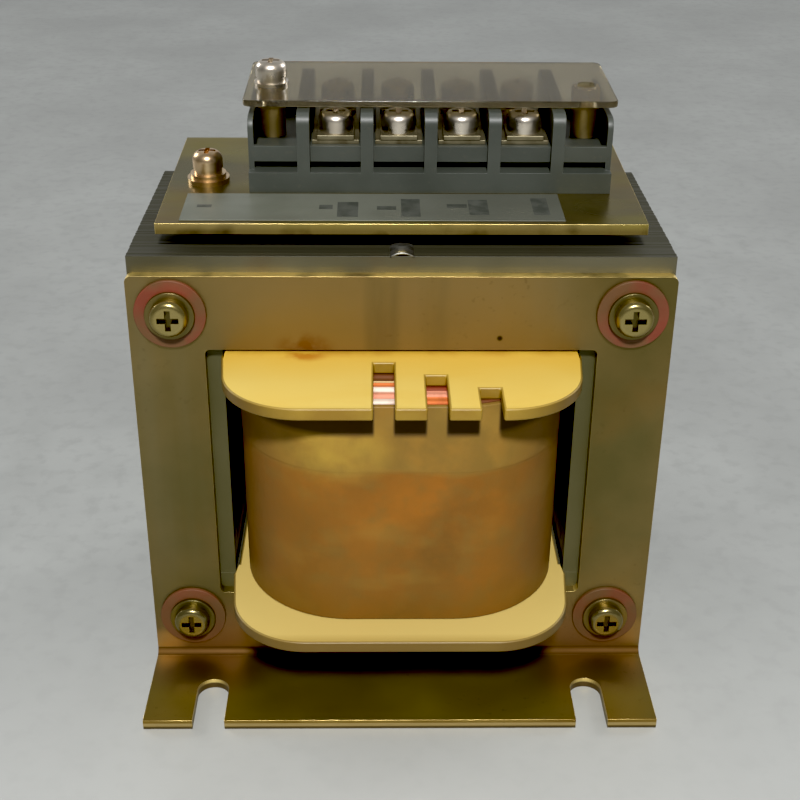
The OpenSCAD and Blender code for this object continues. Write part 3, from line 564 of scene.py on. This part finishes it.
# Painted reflection: a gold glow across the middle of the top bar.
bar_reflection = spotted(tree, (-3 * mm, BAR_FACE, 77 * mm), 13 * mm, 25 * mm, (0.8, 0.2, 1.3))
tone = tint(tree, times(tree, bar_reflection, 0.75), tone, GOLD)
foot_gold = spotted(tree, (0, 0, 0), 3.0 * mm, 2.5 * mm, (0, 0, 1))
tone = tint(tree, times(tree, foot_gold, 0.7), tone, FOOT_GOLD)
# Painted light: the middle of the front foot is paler.
foot_middle_light = spotted(tree, (0, -40 * mm, 1 * mm), 14 * mm, 16 * mm, (0.8, 1, 4))
tone = tint(tree, times(tree, foot_middle_light, 0.8), tone, FOOT_LIT)
for x in (-38 * mm, 38 * mm):
    for side in (-1, 1):
        above_bend = spotted(tree, (x, side * 26 * mm, 7 * mm), 3 * mm, 7 * mm, (0.7, 1, 1))
        tone = tint(tree, times(tree, above_bend, 0.6), tone, LEG_RED)
        below_bend = spotted(tree, (x, side * 31.5 * mm, 1 * mm), 3 * mm, 6.5 * mm, (0.55, 1, 1))
        tone = tint(tree, times(tree, below_bend, 0.7), tone, FOOT_RED)
# Painted highlights: gold glows at the outer corners of the legs above the foot.
for x, z, glow in ((-46.5 * mm, 4.5 * mm, 0.65), (46.8 * mm, 7 * mm, 0.4)):
    corner_highlight = spotted(tree, (x, -26.5 * mm, z), 1.3 * mm, 2.8 * mm, (0.8, 0.5, 1))
    tone = tint(tree, times(tree, corner_highlight, glow), tone, CORNER_HIGHLIGHT)
at = place_on(tree)
outward = add(tree, "ShaderNodeMath", {0: at.outputs["Y"]}, operation="ABSOLUTE")
foot_end = add(tree, "ShaderNodeMath",
               {0: outward.outputs[0], 1: FOOT_END}, operation="GREATER_THAN").outputs[0]
tone = tint(tree, times(tree, foot_end, 0.8), tone, END_UPPER)
# Painted highlight along the middle of the foot's end faces, and painted shade at their bottom.
for height, reach, colour in ((0.95 * mm, 0.2 * mm, END_HIGHLIGHT), (0.0, 0.35 * mm, END_SHADE)):
    band = spotted(tree, (0, 0, height), reach, 0.3 * mm, (0, 0, 1))
    tone = tint(tree, times(tree, times(tree, foot_end, band), 0.85), tone, colour)
# Painted shade: the bends take a darker brown, which dims their reflection.
folded = add(tree, "ShaderNodeAttribute", attribute_name="bend_line").outputs["Fac"]
tone = tint(tree, times(tree, folded, 0.85), tone, FOLD_SHADE)
seep = times(tree, spotted(tree, (-17.3 * mm, BAR_FACE, 69.2 * mm), 1.2 * mm, 3.4 * mm, (0.7, 0.4, 1.2)),
             patch(tree, 340, 0.34, 0.56))
tone = tint(tree, times(tree, seep, 0.55), tone, SEEP_BROWN)
for x, width, depth in ((-3.5, 2.0, 0.42), (5.7, 1.6, 0.24)):
    run = spotted(tree, (x * mm, BAR_FACE, 79 * mm), width * mm, 1.9 * mm, (1, 0.2, 0.08))
    run = times(tree, run, patch(tree, 240, 0.28, 0.58, 4.0, (1, 1, 0.12)))
    tone = tint(tree, times(tree, run, depth), tone, GREY_RUN)
speck = spotted(tree, (17.4 * mm, BAR_FACE, 71.2 * mm), 0.25 * mm, 0.45 * mm)
tone = tint(tree, times(tree, speck, 0.9), tone, SPECK_BLACK)
pits = times(tree, patch(tree, 900, 0.66, 0.74, 1.0), patch(tree, 60, 0.45, 0.7))
tone = tint(tree, times(tree, pits, 0.2), tone, PIT_DARK)
# Worn edges and painted highlights: bright cut metal, mostly on faces turned up or out.
wear_and_glint = add(tree, "ShaderNodeAttribute", attribute_name="edge_wear_and_glint").outputs["Fac"]
burnished = add(tree, "ShaderNodeMapRange",
                {"Value": at.outputs["Z"], "From Min": 1.1 * mm, "From Max": 1.4 * mm})
wear_and_glint = times(tree, wear_and_glint, burnished.outputs[0])
tone = tint(tree, times(tree, wear_and_glint, patch(tree, 140, 0.28, 0.55)), tone, BRIGHT_CUT_AND_GLINT)
tree.links.new(tone, shader["Base Color"])
dull = add(tree, "ShaderNodeMapRange",
           {"Value": patch(tree, 44, 0.3, 0.7), "To Min": 0.38, "To Max": 0.54})
matt_fold = add(tree, "ShaderNodeMath", {0: times(tree, folded, 0.2), 1: dull.outputs[0]}, operation="ADD")
polish = times(tree, wear_and_glint, -0.14)
polished = add(tree, "ShaderNodeMath", {0: matt_fold.outputs[0], 1: polish}, operation="ADD")
tree.links.new(polished.outputs[0], shader["Roughness"])
tree.links.new(grained(tree, 1400, 0.10, 0.05 * mm, (1, 1, 0.25)), shader["Normal"])


def in_bend(centre):
    return centre.z < FOOT_TOP and abs(centre.y) < BEND_END


# Worn edges with painted highlights: up-facing bevels, the top edge and the upper slot walls facing out are
# brightest.
def bracket_wear_and_glint(centre, normal):
    in_foot = centre.z < FOOT_TOP
    by_slot = abs(abs(centre.x) - SLOT_X) < SLOT_ROOM
    in_slot = in_foot and by_slot and SLOT_FROM < abs(centre.y) < SLOT_TO
    slanted = max(abs(c) for c in normal) < 0.95
    if in_bend(centre):
        return 0.0
    if in_slot and abs(normal.z) < 0.9:
        faces_out = normal.y if centre.y > 0 else -normal.y
        return min(max((faces_out - 0.55) / 0.4, 0.3), 1.0)
    if slanted:
        return 0.9 if normal.z > 0.3 else 0.4
    if normal.z > 0.9 and centre.z > 80 * mm:
        return 1.0
    return 0.0 if abs(normal.z if in_foot else normal.y) > 0.5 else 0.1


for side in ("front", "rear"):
    bm = sheet_edges(soft_edged(f"{side}_bracket", 0.3 * mm), bracket_wear_and_glint)
    bend_line = bm.faces.layers.float.new("bend_line")
    for face in bm.faces:
        face[bend_line] = 1.0 if in_bend(face.calc_center_median()) and 0.2 < face.normal.z < 0.95 else 0.0
    piece(bm, f"{side}_bracket_plated", plated, "zinc_yellow", f"{side}_bracket")

# Clamp bolts: long plated pan-head screws through insulating sleeves, with a red fibre washer under each
# steel one. The nuts, lock washers and thread ends are at the rear; the upper two hold the shelf as well.
PITCH = 0.7 * mm
BOLT_RADIUS = 2 * mm
RIDGE_RISE = 0.17 * mm
STEPS_PER_TURN = 24
THREAD_FROM = 31.4 * mm
THREAD_TO = 35.8 * mm
SHELF_SHEET = 2 * mm
BOLT_MIDDLE = (0, 0, (BOLT_LOW + BOLT_HIGH) / 2)
BOLT_REACH = (BOLT_X, 0, (BOLT_HIGH - BOLT_LOW) / 2)
RECESS_REACH = 2.1 * mm
RECESS_FROM = -29.45 * mm
RECESS_TO = -27.8 * mm
WASHER_EDGE = 0.12 * mm
BOLT_GOLD = (0.36, 0.295, 0.12, 1)
BOLT_DULL = (0.125, 0.105, 0.055, 1)
RECESS_SHADE = (0.020, 0.016, 0.008, 1)
WASHER_OLIVE = (0.115, 0.098, 0.044, 1)
FIBRE_RED = (0.150, 0.036, 0.020, 1)
FIBRE_PALE = (0.200, 0.050, 0.028, 1)
FIBRE_BROWN = (0.100, 0.056, 0.024, 1)
FIBRE_LOW_BROWN = (0.085, 0.046, 0.019, 1)
SLEEVE = (0.45, 0.33, 0.14, 1)
SLEEVE_PALE = (0.56, 0.44, 0.22, 1)

bolt, tree, shader, tone = yellow_zinc("plated_fastener", 0.25, 0.7, 0.1)
tone = tint(tree, 0.6, tone, BOLT_GOLD)
where = add(tree, "ShaderNodeTexCoord").outputs["Object"]
at = add(tree, "ShaderNodeSeparateXYZ", {0: where})
low_down = add(tree, "ShaderNodeMath", {0: at.outputs["Z"], 1: HALF_WAY}, operation="LESS_THAN")
tone = tint(tree, times(tree, low_down.outputs[0], 0.55), tone, BOLT_DULL)
depth_along = at.outputs["Y"]
off_axis = add(tree, "ShaderNodeVectorMath", {0: where, 1: BOLT_MIDDLE}, operation="SUBTRACT")
off_axis = add(tree, "ShaderNodeVectorMath", {0: off_axis.outputs[0]}, operation="ABSOLUTE")
off_axis = add(tree, "ShaderNodeVectorMath", {0: off_axis.outputs[0], 1: BOLT_REACH}, operation="SUBTRACT")
off_axis = add(tree, "ShaderNodeVectorMath", {0: off_axis.outputs[0], 1: (1, 0, 1)}, operation="MULTIPLY")
off_axis = add(tree, "ShaderNodeVectorMath", {0: off_axis.outputs[0]}, operation="LENGTH").outputs["Value"]
# Painted shade: the cross recesses in the bolt heads are darkened.
recessed = add(tree, "ShaderNodeMath", {0: off_axis, 1: RECESS_REACH}, operation="LESS_THAN").outputs[0]
for edge, side_of in ((RECESS_FROM, "GREATER_THAN"), (RECESS_TO, "LESS_THAN")):
    within = add(tree, "ShaderNodeMath", {0: depth_along, 1: edge}, operation=side_of).outputs[0]
    recessed = times(tree, recessed, within)
tone = tint(tree, times(tree, recessed, 0.75), tone, RECESS_SHADE)
tree.links.new(tone, shader["Base Color"])
tree.links.new(grained(tree, 1800, 0.1, 0.05 * mm), shader["Normal"])
dress(bolt, "clamp_bolts", "rear_lock_washers")

threads = bmesh.new()
for x in (-BOLT_X, BOLT_X):
    for z, start in ((BOLT_LOW, THREAD_FROM), (BOLT_HIGH, THREAD_FROM + SHELF_SHEET)):
        turns = (THREAD_TO - start) / PITCH
        steps = round(turns * STEPS_PER_TURN)
        ridge = bmesh.new()
        bmesh.ops.create_circle(ridge, segments=3, radius=1)
        bmesh.ops.rotate(ridge, verts=ridge.verts, matrix=Matrix.Rotation(radians(-90), 3, "Z"))
        bmesh.ops.scale(ridge, verts=ridge.verts, vec=(RIDGE_RISE, PITCH / 2, 1))
        bmesh.ops.translate(ridge, verts=ridge.verts, vec=(BOLT_RADIUS, 0, 0))
        bmesh.ops.spin(ridge, geom=ridge.verts[:] + ridge.edges[:], cent=(0, 0, 0), axis=(0, 1, 0),
                       dvec=(0, (THREAD_TO - start) / steps, 0), angle=2 * pi * turns, steps=steps)
        bmesh.ops.holes_fill(ridge, edges=[e for e in ridge.edges if e.is_boundary], sides=3)
        lay(ridge, Matrix.Translation((x, start, z)), threads)
piece(threads, "bolt_threads", bolt, "zinc_yellow")

washer, tree, shader, tone = yellow_zinc("plated_washer", 0.36, 0.6, 0.1)
tree.links.new(tint(tree, 0.45, tone, WASHER_OLIVE), shader["Base Color"])
tree.links.new(grained(tree, 1800, 0.15, 0.05 * mm), shader["Normal"])
for node in ("front_flat_washers", "rear_flat_washers"):
    piece(soft_edged(node, WASHER_EDGE), f"{node}_plated", washer, "zinc_yellow", node)
piece(soft_edged("clamp_nuts", 0.25 * mm), "clamp_nuts_plated", washer, "zinc_yellow", "clamp_nuts")

fibre, tree, shader = finish("red_fibre", 0.0, 0.5, Specular_IOR_Level=0.4)
tone = tint(tree, patch(tree, 240, 0.35, 0.65), FIBRE_RED, FIBRE_PALE)
tone = tint(tree, times(tree, patch(tree, 120, 0.40, 0.58), 0.85), tone, FIBRE_BROWN)
at = place_on(tree)
# The rings are toned darker and browner towards the bottom.
low_down = add(tree, "ShaderNodeMapRange",
               {"Value": at.outputs["Z"], "From Min": 22 * mm, "From Max": 12 * mm, "To Max": 0.75})
tone = tint(tree, low_down.outputs[0], tone, FIBRE_LOW_BROWN)
tree.links.new(tone, shader["Base Color"])
tree.links.new(grained(tree, 2200, 0.2, 0.05 * mm), shader["Normal"])
for node in ("front_fibre_washers", "rear_fibre_washers"):
    piece(soft_edged(node, WASHER_EDGE), f"{node}_cut", fibre, "fibre_red", node)

sleeve, tree, shader = finish("varnished_sleeve", 0.0, 0.45)
tree.links.new(tint(tree, patch(tree, 200, 0.35, 0.65), SLEEVE, SLEEVE_PALE),
               shader["Base Color"])
dress(sleeve, "bolt_sleeves")

# Terminal shelf: an L of the same plated sheet, clamped behind the rear bracket and reaching over the core.
# It droops slightly to the front and is glossier than the brackets.
DROOP = radians(2.5)
SHELF = Matrix.Translation((0, -21.2 * mm, 90.8 * mm)) @ Matrix.Rotation(DROOP, 4, "X")
TO_SHELF = SHELF.to_3x3().transposed()
EDGE_BACK = -20.95 * mm
EDGE_TOP = 90.6 * mm
EDGE_LOW = 89.4 * mm
SHELF_GOLD = (0.27, 0.225, 0.030, 1)
EDGE_SHADE = (0.035, 0.022, 0.007, 1)

shelf, tree, shader, tone = yellow_zinc("plated_shelf", 0.3, 0.5, 0.15)
tone = tint(tree, times(tree, patch(tree, 42, 0.42, 0.68, 5.0, (0.5, 1.6, 1)), 0.6), tone, SHELF_GOLD)
at = place_on(tree)
# Painted shade: the front face of the shelf darkens towards its lower edge.
front_edge = add(tree, "ShaderNodeMath",
                 {0: at.outputs["Y"], 1: EDGE_BACK}, operation="LESS_THAN").outputs[0]
low_edge = add(tree, "ShaderNodeMapRange",
               {"Value": at.outputs["Z"], "From Min": EDGE_TOP, "From Max": EDGE_LOW, "To Max": 0.95})
tone = tint(tree, times(tree, front_edge, low_edge.outputs[0]), tone, EDGE_SHADE)
# Worn edges and painted highlights: bright cut metal on the front bevels.
wear_and_glint = add(tree, "ShaderNodeAttribute", attribute_name="edge_wear_and_glint").outputs["Fac"]
tone = tint(tree, times(tree, wear_and_glint, patch(tree, 160, 0.25, 0.5)), tone, BRIGHT_CUT_AND_GLINT)
tree.links.new(tone, shader["Base Color"])
glossy = add(tree, "ShaderNodeMapRange",
             {"Value": patch(tree, 60, 0.3, 0.7), "To Min": 0.22, "To Max": 0.4})
tree.links.new(glossy.outputs[0], shader["Roughness"])
tree.links.new(grained(tree, 1400, 0.08, 0.05 * mm, (0.3, 1, 1)), shader["Normal"])


# Worn edges with painted highlights: the up-facing bevels at the front are brightest.
def shelf_wear_and_glint(centre, normal):
    turned = TO_SHELF @ normal
    if abs(normal.x) < 0.95 and max(abs(c) for c in turned) < 0.95 and centre.y < 20 * mm:
        return 0.9 if turned.z > 0 else 0.0
    return 0.15 if abs(turned.x) > 0.9 or turned.y < -0.9 else 0.0


bm = sheet_edges(soft_edged("terminal_shelf", 0.35 * mm), shelf_wear_and_glint)
piece(bm, "shelf_plated", shelf, "zinc_yellow", "terminal_shelf")

# Label: a bare satin plate on the front of the shelf.
# It carries only a row of plain darker fields, listed as x, y, width and depth on the shelf in mm.
FIELDS = ((-13.5, 7.4, 2.4, 2.0), (-9.6, 6.3, 3.7, 7.0), (-2.7, 7.0, 3.4, 1.7), (1.6, 7.1, 3.4, 8.4),
          (9.9, 8.0, 3.6, 1.7), (13.7, 7.4, 3.5, 7.2), (24.8, 7.9, 2.9, 8.0), (-35.2, 7.8, 2.6, 1.2))
FIELD_LIFT = 0.02 * mm
LABEL_THICK = 0.2 * mm
LABEL_GREY = (0.135, 0.142, 0.112, 1)
LABEL_PALE = (0.185, 0.192, 0.158, 1)
LABEL_SMEAR = (0.105, 0.105, 0.082, 1)
LABEL_RIGHT_DARK = (0.090, 0.094, 0.078, 1)
FIELD_DARK = (0.036, 0.040, 0.034, 1)
FIELD_PALE = (0.064, 0.068, 0.059, 1)

label, tree, shader = finish("satin_label", 0.35, 0.42)
tone = tint(tree, patch(tree, 50, 0.34, 0.66, 4.0), LABEL_GREY, LABEL_PALE)
tone = tint(tree, times(tree, patch(tree, 130, 0.5, 0.7, 5.0, (0.3, 1, 1)), 0.4), tone, LABEL_SMEAR)
at = place_on(tree)
# The plate is toned darker towards the right.
toward_right = add(tree, "ShaderNodeMapRange",
             {"Value": at.outputs["X"], "From Min": -15 * mm, "From Max": 12 * mm, "To Max": 0.7})
tone = tint(tree, toward_right.outputs[0], tone, LABEL_RIGHT_DARK)
tree.links.new(tone, shader["Base Color"])
tree.links.new(grained(tree, 1600, 0.08, 0.03 * mm), shader["Normal"])
piece(soft_edged("rating_label", 0.05 * mm), "label_plate", label, "label_grey", "rating_label")

ink, tree, shader = finish("label_field", 0.0, 0.5)
tone = tint(tree, patch(tree, 420, 0.38, 0.62, 4.0), FIELD_DARK, FIELD_PALE)
tree.links.new(tone, shader["Base Color"])
fields = bmesh.new()
for x, y, width, depth in FIELDS:
    corner = bmesh.ops.create_grid(fields, x_segments=1, y_segments=1, size=0.5)["verts"]
    bmesh.ops.scale(fields, verts=corner, vec=(width * mm, depth * mm, 1))
    bmesh.ops.translate(fields, verts=corner, vec=(x * mm, y * mm, LABEL_THICK + FIELD_LIFT))
bmesh.ops.solidify(fields, geom=fields.faces[:], thickness=FIELD_LIFT)
bmesh.ops.recalc_face_normals(fields, faces=fields.faces)
bmesh.ops.transform(fields, matrix=SHELF, verts=fields.verts)
piece(fields, "label_fields", ink, "label_grey")

# Terminal block: a charcoal phenolic moulding with raised barriers between the terminals.
# Its faces are satin from the mould, with paler rubbed edges and settled dust.
CHARCOAL = (0.034, 0.039, 0.034, 1)
CHARCOAL_PALE = (0.055, 0.061, 0.053, 1)
CHARCOAL_RUBBED = (0.075, 0.080, 0.072, 1)
DUST = (0.07, 0.068, 0.055, 1)
RUBBED_AREA = 10 * mm * mm

charcoal, tree, shader = finish("charcoal_moulding", 0.0, 0.46, Specular_IOR_Level=0.45)
tone = tint(tree, patch(tree, 60, 0.34, 0.68, 4.0), CHARCOAL, CHARCOAL_PALE)
tone = tint(tree, times(tree, patch(tree, 900, 0.60, 0.72, 2.0), 0.35), tone, DUST)
rubbed = add(tree, "ShaderNodeAttribute", attribute_name="rubbed_edge").outputs["Fac"]
tone = tint(tree, times(tree, rubbed, 0.4), tone, CHARCOAL_RUBBED)
tree.links.new(tone, shader["Base Color"])
tree.links.new(grained(tree, 1300, 0.16, 0.08 * mm), shader["Normal"])
bm = soft_edged("terminal_block", 0.3 * mm, 3)
rub = bm.faces.layers.float.new("rubbed_edge")
for face in bm.faces:
    slanted = max(abs(c) for c in TO_SHELF @ face.normal) < 0.97
    face[rub] = 1.0 if slanted and face.calc_area() < RUBBED_AREA else 0.0
piece(bm, "block_moulding", charcoal, "block_charcoal", "terminal_block")

# Terminals: nickel-plated bars, each with a screw at both ends.
# Under each screw head lie a split lock washer and a square pressure washer.
BAR_EDGE = 0.15 * mm
NICKEL = (0.58, 0.51, 0.42, 1)
NICKEL_PALE = (0.70, 0.64, 0.55, 1)
NICKEL_STAIN = (0.34, 0.27, 0.17, 1)
NICKEL_SHADE = (0.170, 0.150, 0.095, 1)
NICKEL_SHADE_PALE = (0.270, 0.240, 0.160, 1)
NICKEL_SHADE_DARK = (0.090, 0.070, 0.040, 1)

nickel, tree, shader = finish("bright_nickel", 1.0, 0.3)
tone = tint(tree, patch(tree, 180, 0.35, 0.68), NICKEL, NICKEL_PALE)
tone = tint(tree, times(tree, patch(tree, 420, 0.56, 0.72), 0.5), tone, NICKEL_STAIN)
tree.links.new(tone, shader["Base Color"])
dulled = add(tree, "ShaderNodeMapRange",
             {"Value": patch(tree, 260, 0.3, 0.7), "To Min": 0.24, "To Max": 0.42})
tree.links.new(dulled.outputs[0], shader["Roughness"])
tree.links.new(grained(tree, 2400, 0.06, 0.05 * mm), shader["Normal"])
dress(nickel, "terminal_screws", "terminal_lock_washers")

# Painted shade: the bars and square washers take a darker, duller copy of the nickel, for the shade under
# the cover.
shaded_nickel, tree, shader = finish("shaded_nickel_plate", 0.9, 0.5)
tone = tint(tree, patch(tree, 200, 0.35, 0.66), NICKEL_SHADE, NICKEL_SHADE_PALE)
tone = tint(tree, times(tree, patch(tree, 420, 0.54, 0.72), 0.6), tone, NICKEL_SHADE_DARK)
tree.links.new(tone, shader["Base Color"])
tree.links.new(grained(tree, 2400, 0.1, 0.05 * mm), shader["Normal"])
piece(soft_edged("terminal_bars", BAR_EDGE), "bars_plated", shaded_nickel, "nickel", "terminal_bars")
piece(soft_edged("square_washers", BAR_EDGE), "square_washers_plated", shaded_nickel, "nickel", "square_washers")

# Posts and cover: brass posts through the ends of the block carry a clear smoky sheet.
# One nickel screw with its washers holds the sheet at the left.
TURNED_EDGE = 0.2 * mm
BRASS = (0.58, 0.46, 0.22, 1)
BRASS_PALE = (0.68, 0.56, 0.31, 1)
BRASS_STAIN = (0.26, 0.18, 0.07, 1)
SMOKE = (0.37, 0.305, 0.18, 1)
SMOKE_PALE = (0.445, 0.38, 0.245, 1)

brass, tree, shader = finish("turned_brass", 0.8, 0.5)
tone = tint(tree, patch(tree, 150, 0.35, 0.65), BRASS, BRASS_PALE)
tone = tint(tree, times(tree, patch(tree, 300, 0.5, 0.7), 0.4), tone, BRASS_STAIN)
tree.links.new(tone, shader["Base Color"])
tree.links.new(grained(tree, 2000, 0.12, 0.05 * mm, (0.3, 0.3, 1.5)), shader["Normal"])
piece(soft_edged("cover_posts", TURNED_EDGE), "posts_turned", brass, "brass", "cover_posts")
piece(soft_edged("post_nuts", TURNED_EDGE), "post_nuts_turned", brass, "brass", "post_nuts")
dress(nickel, "cover_screw", "cover_washer", "cover_lock_washer")

smoky, tree, shader = finish("smoky_sheet", 0.0, 0.12, Transmission_Weight=0.95, IOR=1.3)
haze = tint(tree, patch(tree, 40, 0.35, 0.68, 4.0), SMOKE, SMOKE_PALE)
tree.links.new(haze, shader["Base Color"])
scuffed = add(tree, "ShaderNodeMapRange",
              {"Value": patch(tree, 120, 0.4, 0.7, 5.0, (1, 0.3, 1)), "To Min": 0.08, "To Max": 0.22})
tree.links.new(scuffed.outputs[0], shader["Roughness"])
piece(soft_edged("terminal_cover", 0.2 * mm), "cover_sheet", smoky, "cover_smoke", "terminal_cover")

# Earth screw: a pan-head screw at the left of the shelf, of brass with a bright coppery plating.
# A split lock washer and a clamp washer lie between its head and the broad washer on the shelf.
COPPERY = (0.60, 0.40, 0.22, 1)
COPPERY_PALE = (0.74, 0.56, 0.36, 1)
COPPERY_STAIN = (0.26, 0.15, 0.06, 1)

coppery, tree, shader = finish("coppery_brass", 1.0, 0.28)
tone = tint(tree, patch(tree, 220, 0.35, 0.66), COPPERY, COPPERY_PALE)
tone = tint(tree, times(tree, patch(tree, 480, 0.5, 0.7), 0.5), tone, COPPERY_STAIN)
tree.links.new(tone, shader["Base Color"])
tree.links.new(grained(tree, 2200, 0.1, 0.05 * mm), shader["Normal"])
dress(coppery, "earth_washer", "earth_clamp_washer", "earth_lock_washer", "earth_screw")

# Bench, light and camera: a plain pale bench under one soft lamp in front and above, in a dim room with
# two weak lamps behind. The camera stands in front of the object, looking down on it.
BENCH = 1.6
LAMP_REACH = 1.4
LAMP_RISE = radians(47)
LAMP_SIZE = 0.14
LAMP_POWER = 26.5
FILL_REACH = 2.0
FILL_RISE = radians(25)
FILL_TURN = radians(55)
FILL_SIZE = 0.8
FILL_POWER = 12
ROOM_FRONT = 0.2
ROOM_BACK = 0.52
EYE = Vector((-3.9, -241.1, 170.1)) * mm
PITCH_DOWN = radians(27.34)
YAW = radians(0.98)
ROLL = radians(0.47)
SENSOR = 36
LENS = 60.03
BLACK_LEVEL = (0.016, 0.017, 0.02)
BENCH_GREY = (0.248, 0.253, 0.243, 1)
BENCH_PALE = (0.288, 0.295, 0.283, 1)
BENCH_DUSTY = (0.222, 0.228, 0.218, 1)
BENCH_MARK = (0.200, 0.204, 0.196, 1)
BENCH_LIT = (0.47, 0.475, 0.455, 1)
ROOM_LIGHT = (0.94, 0.97, 1.0, 1)

bench, tree, shader = finish("pale_bench", 0.0, 0.5)
tone = tint(tree, patch(tree, 14, 0.35, 0.65, 5.0), BENCH_GREY, BENCH_PALE)
tone = tint(tree, times(tree, patch(tree, 90, 0.45, 0.7, 6.0), 0.35), tone, BENCH_DUSTY)
tone = tint(tree, times(tree, patch(tree, 240, 0.5, 0.66, 6.0), 0.3), tone, BENCH_MARK)
# Painted light: a pool of light brightens the bench in front of the object.
front_light_pool = spotted(tree, (0, -170 * mm, 0), 50 * mm, 170 * mm, (0.7, 1, 1))
tone = tint(tree, times(tree, front_light_pool, 0.8), tone, BENCH_LIT)
tree.links.new(tone, shader["Base Color"])
tree.links.new(grained(tree, 300, 0.1, 0.3 * mm), shader["Normal"])
bm = bmesh.new()
bmesh.ops.create_grid(bm, x_segments=1, y_segments=1, size=BENCH)
floor_mesh = bpy.data.meshes.new("bench_top")
bm.to_mesh(floor_mesh)
bm.free()
floor_mesh.materials.append(bench)
floor = bpy.data.objects.new("bench_top", floor_mesh)
bpy.context.scene.collection.objects.link(floor)


def lamp(name, place, target, size, power):
    light = bpy.data.lights.new(name, "AREA")
    light.shape = "DISK"
    light.size = size
    light.energy = power
    made = bpy.data.objects.new(name, light)
    made.location = place
    made.rotation_euler = (Vector(target) - Vector(place)).to_track_quat("-Z", "Y").to_euler()
    bpy.context.scene.collection.objects.link(made)


middle = Vector((0, -0.02, 0.05))
above_front = Vector((0, -cos(LAMP_RISE), sin(LAMP_RISE)))
lamp("key", middle + LAMP_REACH * above_front, middle, LAMP_SIZE, LAMP_POWER)
for side in (-1, 1):
    level_part = cos(FILL_RISE)
    behind = Vector((side * sin(FILL_TURN) * level_part, cos(FILL_TURN) * level_part, sin(FILL_RISE)))
    lamp("fill", middle + FILL_REACH * behind, middle, FILL_SIZE, FILL_POWER)

world = bpy.data.worlds.new("dim_room")
world.use_nodes = True
bpy.context.scene.world = world
around = add(world.node_tree, "ShaderNodeTexCoord").outputs["Generated"]
toward = add(world.node_tree, "ShaderNodeSeparateXYZ", {0: around}).outputs["Y"]
glow = add(world.node_tree, "ShaderNodeMapRange",
           {"Value": toward, "From Min": -0.2, "From Max": 0.8, "To Min": ROOM_FRONT, "To Max": ROOM_BACK})
sky = world.node_tree.nodes["Background"].inputs
sky["Color"].default_value = ROOM_LIGHT
world.node_tree.links.new(glow.outputs[0], sky["Strength"])

ahead = Vector((sin(YAW) * cos(PITCH_DOWN), cos(YAW) * cos(PITCH_DOWN), -sin(PITCH_DOWN)))
right = Vector((cos(YAW), -sin(YAW), 0))
up = right.cross(ahead)
rolled_right = cos(ROLL) * right + sin(ROLL) * up
rolled_up = -sin(ROLL) * right + cos(ROLL) * up
eye = bpy.data.cameras.new("eye")
eye.sensor_width = SENSOR
eye.lens = LENS
eye.clip_start = 0.01
camera = bpy.data.objects.new("eye", eye)
turned = Matrix((rolled_right, rolled_up, -ahead)).transposed().to_4x4()
camera.matrix_world = Matrix.Translation(EYE) @ turned
bpy.context.scene.collection.objects.link(camera)
bpy.context.scene.camera = camera
view = bpy.context.scene.view_settings
view.view_transform = "Standard"
view.use_curve_mapping = True
view.curve_mapping.black_level = BLACK_LEVEL
